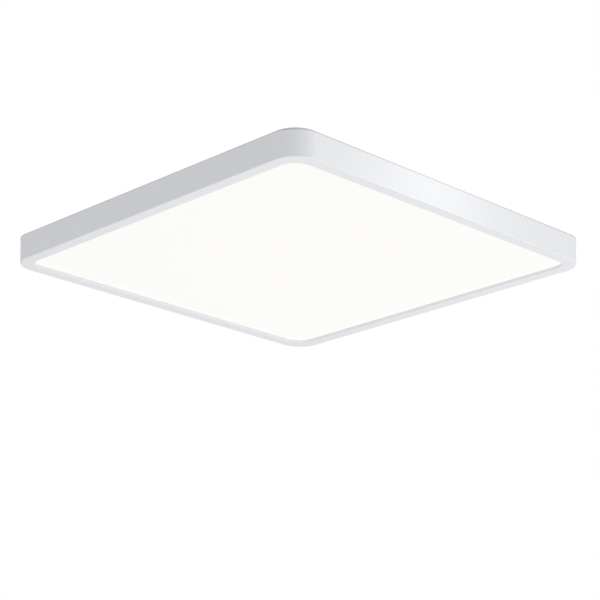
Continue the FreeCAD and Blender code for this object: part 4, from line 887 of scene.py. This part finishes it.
def jumper_route(k, turn):
    """From one strip's pads over the corner of the inner plate to the next strip's."""
    y = STRIP_PAD_Y + k * PAD_SPACING
    high = PLATE_TOP + 1.5 + k * 1.5
    points = [(y, -STRIP_PAD, STRIP_PAD_Z), (y, -STRIP_LEAD, STRIP_PAD_Z), (y, -STRIP_LEAD, high)]
    points += [(-y, -x, z) for x, y, z in points[::-1]]
    return [spin(turn) @ Vector(point) for point in points]


def add_leads():
    for node, radius, routes in (
        ("live_lead", MAINS_RADIUS, [supply_route(1)]),
        ("neutral_lead", MAINS_RADIUS, [supply_route(0)]),
        ("earth_lead", MAINS_RADIUS, [earth_route()]),
        ("led_leads", FINE_RADIUS, [led_route(k) for k in (0, 1)]),
        ("switch_leads", FINE_RADIUS, [switch_route(k) for k in (-1, 0, 1)]),
        ("strip_jumpers", FINE_RADIUS, [jumper_route(k, turn) for turn in JUMPER_TURNS for k in (0, 1)]),
    ):
        remake(node, f"smooth_{node}", [(lead, route, radius) for route in routes])


# Terminal box and what is in it

def add_terminal_box():
    low, high = span("terminal_box")
    block_low, block_high = span("terminal_block")
    centre = ((low.x + high.x) / 2, 0)
    size_x, size_y = high.x - low.x, high.y - low.y
    floor = low.z + BOX_WALL
    ear = high.y - HINGE_EAR
    wall = block_high.y + SLIP
    knuckle = HINGE_X - HINGE_RADIUS
    axis = (HINGE_X, 0, HINGE_Z)
    steps = [(CUT, (slab, size_x - 2 * BOX_WALL, size_y - 2 * BOX_WALL, BOX_CORNER - 1, floor, 0, centre))]
    for side, post in zip(BOTH, SADDLE_SCREWS):
        near, far = sorted((side * ear, side * high.y))
        steps += [(ADD, (block, (knuckle, near, floor), (high.x, far, HINGE_Z))),
                  (ADD, (bar, ALONG_Y, axis, HINGE_RADIUS, near, far))]
        near, far = sorted((side * wall, side * (wall + BOX_WALL)))
        steps.append((ADD, (block, (block_low.x, near, low.z + 0.1), (block_high.x, far, LEAD_Z)),
                      (rod, post, SADDLE_POST, low.z + 0.1, SADDLE_SEAT, 32)))
    steps += [(CUT, (block, (knuckle - 0.1, -ear, HINGE_Z - HINGE_RADIUS - 0.15), (high.x + 1, ear, 1))),
              (CUT, (bar, ALONG_Y, axis, HINGE_PIN + 0.05, -high.y - 1, high.y + 1, 24)),
              (CUT, (slab, 4 * BOX_WALL, 2 * ENTRY_HALF, 0.6, floor, 1, (low.x, 0)))]
    exit_z = LEAD_Z + 0.4
    for y in (-5.9, 0, 5.9):
        steps += [(CUT, (bar, ALONG_X, (0, y, exit_z), 1.6, high.x - 2, high.x + 1, 24)),
                  (CUT, (block, (high.x - 2, y - 1.6, exit_z), (high.x + 1, y + 1.6, 1)))]
    for side, post in zip(BOTH, SADDLE_SCREWS):
        place = (high.x - BOX_SCREW_INSET, side * (high.y - BOX_SCREW_INSET))
        steps.append((CUT, (rod, place, SCREW_BORE, low.z - 1, 0), (rod, post, SCREW_BORE, SADDLE_SEAT - 2.6, 0)))
    remake("terminal_box", "moulded_terminal_box",
           [(slab, size_x, size_y, BOX_CORNER, low.z, BOX_TOP, centre, 8, 0.6, 0.25)], *steps)


def add_terminal_lid():
    """Lid with its hinge bar and pins, a thumb tab at the cable's end and three grip grooves."""
    low, high = span("terminal_box")
    under, over = BOX_TOP + 0.1, BOX_TOP + 0.1 + LID_THICKNESS
    ear = high.y - HINGE_EAR - 0.1
    end = HINGE_X - HINGE_RADIUS - 0.1
    pin = high.y - 0.1
    axis = (HINGE_X, 0, HINGE_Z)
    plate = (slab, end - low.x, high.y - low.y, BOX_CORNER, under, over, ((low.x + end) / 2, 0), 8, 0.2, 0.4)
    remake("terminal_lid", "hinged_terminal_lid", [plate],
           (ADD, (slab, 6, 14, 2.4, under, over, (low.x, 0), 8, 0.2, 0.4)),
           (ADD, (block, (end - 1, -ear, under), (HINGE_X, ear, over))),
           (ADD, (bar, ALONG_Y, axis, HINGE_RADIUS, -ear, ear)),
           (ADD, (bar, ALONG_Y, axis, HINGE_PIN, -pin, pin, 24)),
           (CUT, *[(slab, 1, 20, 0.45, over - 0.4, over + 1, (low.x + 6.5 + 3 * i, 0)) for i in range(3)]))


def add_terminal_block():
    """Three poles: moulded towers, brass sleeves and slotted clamping screws."""
    low, high = span("terminal_block")
    step = LEAD_Z - 1
    corners = [(-high.y, low.z), (high.y, low.z), (high.y, step)]
    radii = [0, 0, 0.4]
    for y in reversed(POLES):
        left, right = y - BLOCK_TOWER, y + BLOCK_TOWER
        corners += [(right, step), (right, high.z), (left, high.z), (left, step)]
        radii += [0.3, 1.2, 1.2, 0.3]
    profile = rounded(corners + [(-high.y, step)], radii + [0.4])

    def along(radius, extra_length=0, sides=32):
        return [(bar, ALONG_X, (0, y, LEAD_Z), radius, low.x - extra_length, high.x + extra_length, sides)
                for y in POLES]

    screw_x = (low.x + high.x) / 2
    places = [(screw_x + side * CLAMP_SCREW_REACH, y) for y in POLES for side in BOTH]
    remake("terminal_block", "moulded_terminal_block", [(extruded, profile, low.x, high.x)],
           (CUT, *along(2.1, 1)), (CUT, *[(rod, place, CLAMP_SCREW + 0.3, LEAD_Z, 0) for place in places]),
           edges=(0.12, 1, 50))
    remake("terminal_clamps", "brass_sleeves", along(2.05), (CUT, *along(SLEEVE_BORE, 1, 22)),
           (CUT, *[(rod, place, CLAMP_SCREW, LEAD_Z + 0.1, 0, 28) for place in places]))
    foot = LEAD_Z + SLEEVE_BORE
    top = LEAD_Z + CLAMP_SCREW_TOP
    profile = [(0, foot), (1.1, foot), (CLAMP_SCREW, LEAD_Z + 1.4), (CLAMP_SCREW, top - 0.3),
               (CLAMP_SCREW - 0.2, top - 0.08), (0, top)]
    slots = [(prism, rectangle(-2, -0.25, 2, 0.25), top - 0.7, top + 0.5, place, k * GOLDEN_TURN)
             for k, place in enumerate(places)]
    remake("terminal_screws", "slotted_screws", [(lathe, profile, place, 24) for place in places], (CUT, *slots))


def add_cable_clamp():
    end = SADDLE_SCREW_Y + SADDLE_POST
    top = SADDLE_SEAT + 2.2
    face = [(end, SADDLE_SEAT), (4.6, SADDLE_SEAT), (3.2, top), (-3.2, top), (-4.6, SADDLE_SEAT), (-end, SADDLE_SEAT)]
    remake("cable_clamp", "arched_cable_clamp",
           [(extruded, sheet_section(face, 0.6, SADDLE_THICKNESS), SADDLE_X - 2.5, SADDLE_X + 2.5)],
           (KEEP, (slab, 5, 2 * end, 1.6, SADDLE_SEAT - 2, SADDLE_SEAT + 8, (SADDLE_X, 0))),
           (CUT, *[(rod, place, SCREW_BORE, SADDLE_SEAT - 1, 0) for place in SADDLE_SCREWS]),
           edges=(0.2, 2, 50))


def add_grommet():
    """Oval rubber grommet with a flange each side of the recess wall."""
    low, high = span("lead_grommet")
    near, far = high.x - 2.2, high.x - 1.6
    profile = [(high.x, 0.1), (high.x - 0.1, 0), (low.x + 0.1, 0), (low.x, 0.1), (low.x, 2.1), (low.x + 0.4, 2.5),
               (near - 0.2, 2.5), (near, 2.3), (near, 1.3), (far, 1.3), (far, 2.3), (far + 0.2, 2.5),
               (high.x - 0.4, 2.5), (high.x, 2.1)]
    ends = [(straight, turn) for straight, start in ((MAINS_SPACING, -90), (-MAINS_SPACING, 90))
            for turn in arc(start, start + 180, 12)]
    rings = []
    for x, grow in profile:
        radius = MAINS_RADIUS + 0.1 + grow
        rings.append([Vector((x, straight + radius * cos(t), LEAD_Z + radius * sin(t))) for straight, t in ends])
    remake("lead_grommet", "rubber_grommet", [(skin, rings, True)])


def add_earth_lug():
    """Ring for the screw, a neck and the barrel that holds the lead."""
    x, y = middle(*span("earth_screw"))
    top = PLATE_TOP + 0.6
    axis = (x, 0, top + MAINS_RADIUS)
    remake("earth_lug", "ring_lug", [(rod, (x, y), 4, PLATE_TOP, top, 48)],
           (ADD, (block, (x - 1.5, y + 1, PLATE_TOP), (x + 1.5, y + 5, top))),
           (ADD, (bar, ALONG_Y, axis, 1.6, y + 4.4, y + 8)),
           (CUT, (bar, ALONG_Y, axis, 0.8, y + 4, y + 9)),
           (CUT, (rod, (x, y), EARTH_SCREW[0] + 0.02, PLATE_TOP - 1, top + 1)))


# Driver

def driver_form(bm, inset, radius, low, high):
    """Rounded block with the driver's outline, smaller all round by the inset."""
    corner_low, corner_high = span("driver_lid")
    size = corner_high - corner_low
    slab(bm, size.x - 2 * inset, size.y - 2 * inset, radius, low, high, (DRIVER_X, DRIVER_Y))


def add_driver_case():
    low, high = span("driver_case")
    lid_low, lid_high = span("driver_lid")
    top = lid_high.z - CASE_WALL
    floor = low.z + CASE_WALL
    posts = [(DRIVER_X + sx * 51, DRIVER_Y + sy * 14) for sx in BOTH for sy in BOTH]
    holes = []
    for k in (0, 1):
        supply_y = DRIVER_Y - k * MAINS_SPACING
        led_y = DRIVER_Y + 2 + k * FINE_SPACING
        holes += [(bar, ALONG_X, (0, supply_y, LEAD_Z), 0.66, lid_high.x - 2, lid_high.x + 1, 16),
                  (bar, ALONG_X, (0, led_y, -9), 0.36, lid_low.x - 1, lid_low.x + 2, 16)]
    holes += [(rod, middle(*hole), SCREW_BORE, low.z - 1, low.z + 3) for hole in islands("driver_screws")]
    remake("driver_case", "moulded_driver_case", [(driver_form, 0, CASE_CORNER, low.z, top)],
           (ADD, (slab, high.x - low.x, 12, CASE_CORNER, low.z, low.z + 2, (DRIVER_X, DRIVER_Y))),
           (CUT, (driver_form, CASE_WALL, CASE_CORNER - CASE_WALL, floor, 0)),
           (ADD, *[(rod, post, 2.4, low.z + 0.1, floor + 1.5) for post in posts]), (CUT, *holes),
           edges=(0.15, 2, 50))
    inset = CASE_WALL + 0.1
    rim = made("rim", [(driver_form, inset, CASE_CORNER - inset, top - LID_RIM, top + 0.1)],
               (CUT, (driver_form, inset + 1, CASE_CORNER - inset - 1, top - LID_RIM - 1, top + 1)))
    lid = made("vented_driver_lid", [(driver_form, 0, CASE_CORNER, top, lid_high.z)])
    combine(lid, rim, ADD)
    vents = [(slab, 2, 12, 0.95, top - 5, top + 5, (DRIVER_X + k * VENT_PITCH, DRIVER_Y + side * VENT_ROW))
             for k in range(-2, 3) for side in BOTH]
    combine(lid, made("vents", vents), CUT)
    bevel(lid, 0.25, 2, 50)
    stand_for(lid, "driver_lid")


# Tracks on the driver's board, as corners about the driver's centre
TRACKS = [
    [(55, 10), (48, 10), (44, 14), (30, 14)], [(55, 4), (50, 4), (46, 0), (46, -6)],
    [(46, -14), (46, -18), (20, -18), (16, -14), (16, -11)], [(27, -13), (22, -8), (22, 8), (19, 11)],
    [(12, -6), (4, -6), (0, -2), (0, 4), (-3.5, 7.5)], [(20, 15), (2, 15), (-2, 11), (-2, 9.5)],
    [(-4, 0), (-4, -8), (-8, -12), (-28, -12)], [(-22, 8), (-26, 12), (-34, 12), (-38, 8), (-38, 0)],
    [(-22, -6), (-32, -6), (-35, -3)], [(-40, -13), (-50, -13), (-54, -9), (-54, -4)],
    [(-52, 4), (-56, 8), (-56, 12)], [(-31, -16), (-48, -16), (-55, -16)], [(26, -4), (34, -4), (39, 1), (39, 8)],
]
TRACK_HALF = 0.6


def add_tracks():
    """Copper tracks under the solder mask, and a tinned pad at each end."""
    pad = [(0, 0), (1, 0), (1, 0.1), (0.55, 0.15), (0.3, 0.6), (0, 0.7)]
    tracks, pads = [], []
    for track in TRACKS:
        points = [Vector((DRIVER_X + x, DRIVER_Y + y)) for x, y in track]
        runs = [(b - a).normalized() for a, b in zip(points, points[1:])]
        left, right = [], []
        for point, before, after in zip(points, runs[:1] + runs, runs + runs[-1:]):
            across = (before + after).normalized().orthogonal()
            across *= TRACK_HALF / max(0.5, across.dot(before.orthogonal()))
            left.append(point + across)
            right.append(point - across)
        tracks.append((prism, left + right[::-1], BOARD_TOP - 0.05, BOARD_TOP + 0.06))
        pads += [(lathe, pad, (*end, BOARD_TOP), 20) for end in (points[0], points[-1])]
    extra("board_tracks", "circuit_board", tracks, look="masked_copper")
    extra("solder_pads", "tinned_copper", pads)


def add_transformer():
    low, high = span("driver_transformer")
    x, y = middle(low, high)
    limbs = [(block, (x + a, y - 8, BOARD_TOP), (x + b, y + 8, high.z)) for a, b in ((-9, -6), (6, 9))]
    remake("driver_transformer", "ferrite_core", limbs,
           (ADD, (block, (x - 7, y - 2.5, BOARD_TOP), (x + 7, y + 2.5, high.z))), edges=(0.25,))
    tall = high.z - BOARD_TOP
    rings = []
    for along in (-5.8, -5.4, -3, 0, 3, 5.4, 5.8):
        crown = 0.35 * (1 - (along / 5.8) ** 2)
        flat = rounded_ring(2 * (7 + crown), tall - 1.4, 3.2, 0, 6)
        rings.append([Vector((x + along, y + p.x, BOARD_TOP + tall / 2 + p.y)) for p in flat])
    extra("taped_winding", "wire_white", [(capped, rings)])


def add_capacitors():
    """Two sleeved cans on their sides, and box capacitors."""
    cans, tops = [], []
    for low, high in islands("driver_capacitors"):
        if high.y - low.y > 8:
            radius, length = 4.3, high.x - low.x
            profile = [(0, 0.15), (3.2, 0.15), (3.4, 0), (3.9, 0.1), (radius, 0.5), (radius, 2), (radius - 0.5, 2.5),
                       (radius, 3), (radius, length - 0.4), (radius - 0.4, length), (3.4, length),
                       (3.3, length - 0.2), (0, length - 0.2)]
            place = (low.x, (low.y + high.y) / 2, BOARD_TOP + radius)
            cans.append((lathe, profile, place, 32, ALONG_X))
            tops.append((bar, ALONG_X, place, 3.35, length - 0.3, length - 0.1))
        else:
            size = high - low
            cans.append((slab, size.x, size.y, 1.2, BOARD_TOP, high.z, middle(low, high), 8, 0.3, 0.5))
    remake("driver_capacitors", "sleeved_capacitors", cans)
    extra("can_tops", "bare_aluminium", tops)


def add_choke():
    low, high = span("driver_inductor")
    flange = (high.x - low.x) / 2
    place = middle(low, high)
    profile = [(0, low.z), (flange, low.z), (flange, low.z + 1.2), (3.4, low.z + 1.2), (3.4, high.z - 1.2),
               (flange, high.z - 1.2), (flange, high.z), (0, high.z)]
    remake("driver_inductor", "choke_core", [(lathe, profile, place)], edges=(0.15, 2, 50))
    steps = 36
    coil = [(3.3, low.z + 1.1)]
    coil += [(3.7 + 0.25 * abs(sin(pi * k / 4)), low.z + 1.3 + (high.z - low.z - 2.6) * k / steps)
             for k in range(steps + 1)]
    coil.append((3.3, high.z - 1.1))
    extra("choke_winding", "brass", [(collar, coil, place, 32)], look="enamelled_copper")


def add_chips():
    chips, legs = [], []
    for low, high in islands("driver_rectifier"):
        chips.append((block, (low.x, low.y, BOARD_TOP + 0.2), high))
        for near, far in ((low.y - 0.9, low.y), (high.y, high.y + 0.9)):
            for k in range(4):
                x = low.x + (high.x - low.x) * (k + 0.5) / 4
                legs.append((block, (x - 0.25, near, BOARD_TOP), (x + 0.25, far, BOARD_TOP + 0.35)))
    remake("driver_rectifier", "moulded_chips", chips, edges=(0.2,))
    extra("chip_legs", "tinned_copper", legs, edges=(0.1,))


# LEDs and solder joints

def add_leds():
    """LED packages: a white body with a recess, and the phosphor in it."""
    for side, turn in zip(SIDES, TURNS):
        bodies, faces = [], []
        for box in islands(f"leds_{side}"):
            a, b = (spin(-turn) @ corner for corner in box)
            foot, front = sorted((a.y, b.y))
            x, z = (a.x + b.x) / 2, (a.z + b.z) / 2
            wide, tall = abs(b.x - a.x), abs(b.z - a.z)

            def rings(*levels):
                flats = [(y, rounded_ring(wide - 2 * inset, tall - 2 * inset, 0.3, 0, 2)) for inset, y in levels]
                return [[spin(turn) @ Vector((x + p.x, y, z + p.y)) for p in flat] for y, flat in flats]

            bodies.append((capped, rings((0, foot), (0, front - 0.1), (0.1, front), (0.4, front), (0.5, front - 0.2))))
            faces.append((capped, rings((0.52, front - 0.2), (0.48, front - 0.08), (0.7, front - 0.05))))
        extra(f"led_bodies_{side}", "white_film", bodies)
        remake(f"leds_{side}", f"led_faces_{side}", faces)


def add_solder():
    """Solder beads where the thin leads end on the strips."""
    routes = [jumper_route(k, turn) for turn in JUMPER_TURNS for k in (0, 1)]
    ends = [route[:-3:-1] for route in (led_route(0), led_route(1), *routes)] + [route[:2] for route in routes]
    profile = [(0, 0)] + [(0.95 * cos(a), 0.6 * sin(a)) for a in arc(0, 75, 5)] + [(0, 0.6)]
    beads = []
    for end, ahead in ends:
        tilt = Vector((0, 0, 1)).rotation_difference((ahead - end).normalized()).to_matrix()
        beads.append((lathe, profile, end, 20, tilt))
    extra("solder_beads", "tinned_copper", beads)


# Nodes whose form is right get softened edges of these widths
EDGE_WIDTHS = {
    "colour_switch_body": 0.15, "colour_switch_slider": 0.15, "driver_board": 0.1, "inner_plate": 0.1,
    "pan_standoffs": 0.3, "light_guide": 0.3, "diffuser": 0.2, "reflector_sheet": 0.08, "foam_sheet": 0.3,
}
for led_side in SIDES:
    EDGE_WIDTHS |= {f"led_rail_{led_side}": 0.25, f"led_strip_{led_side}": 0.08}


def add_softened():
    for node, width in EDGE_WIDTHS.items():
        bm = merged(frame["nodes"][node])
        bmesh.ops.dissolve_limit(bm, angle_limit=radians(1), verts=bm.verts, edges=bm.edges)
        piece = linked(f"fine_{node}", bm, 1)
        bevel(piece, width)
        stand_for(piece, node)


# Camera, light and floor, in metres

def add_camera():
    camera = placed("camera", bpy.data.cameras.new("camera"))
    camera.location = CAMERA_PLACE
    aim = Euler((pi / 2 + CAMERA_PITCH, 0, CAMERA_TURN)).to_matrix()
    camera.rotation_euler = (aim @ spin(CAMERA_ROLL)).to_euler()
    camera.data.sensor_width = SENSOR_WIDTH
    camera.data.lens = SENSOR_WIDTH * CAMERA_FOCAL_PIXELS / PHOTO_WIDTH
    camera.data.clip_end = 50
    bpy.context.scene.camera = camera


def add_world():
    """White to the camera, softer as a light source."""
    world = bpy.data.worlds.new("studio")
    bpy.context.scene.world = world
    world.use_nodes = True
    nodes = world.node_tree.nodes
    shade = preset(nodes["Background"], Color=(0.96, 0.975, 1, 1), Strength=0.737)
    white = new_node(shade, "Background", Color=(1, 1, 1, 1), Strength=1)
    mix = new_node(shade, "MixShader")
    join(new_node(shade, "LightPath"), "Is Camera Ray", mix, "Fac")
    join(shade, "Background", mix, 1)
    join(white, "Background", mix, 2)
    join(mix, "Shader", nodes["World Output"], "Surface")


def add_floor():
    """Pale room floor, far below the lamp."""
    floor = made("floor", [(skin, [rounded_ring(44000, 44000, 21990, -2400, 32)], False, False, True)])
    floor.data.materials.append(MATERIALS["pale_floor"])


def area_light(name, place, target, size, power, colour=(1, 1, 1)):
    light = placed(name, bpy.data.lights.new(name, "AREA"))
    light.data.shape = "RECTANGLE"
    light.data.size, light.data.size_y = size
    light.data.energy = power
    light.data.color = colour
    light.location = place
    light.visible_camera = False
    light.rotation_euler = (Vector(target) - Vector(place)).to_track_quat("-Z", "Y").to_euler()


def add_lights():
    area_light("key", (2.2, 1.15, 0.2), (0.2, 0, 0), (1.2, 1.2), 11.1, (1, 0.99, 0.975))
    area_light("beside", (0.31, -0.028, -0.012), (0.2, -0.028, -0.012), (0.05, 0.02), 0.023, (1, 0.985, 0.96))
    area_light("below", (0.4, 0.15, -1.63), (0, 0, 0), (1.2, 1.2), 11.5)


bpy.context.scene.view_settings.view_transform = "Standard"
for add in (add_camera, add_world, add_floor, add_lights, add_frame, add_pan, add_bracket,
              add_clips, add_bush, add_fasteners, add_leads, add_terminal_box, add_terminal_lid,
              add_terminal_block, add_cable_clamp, add_grommet, add_earth_lug, add_driver_case,
              add_transformer, add_capacitors, add_choke, add_chips, add_tracks, add_leds,
              add_solder, add_softened):
    add()
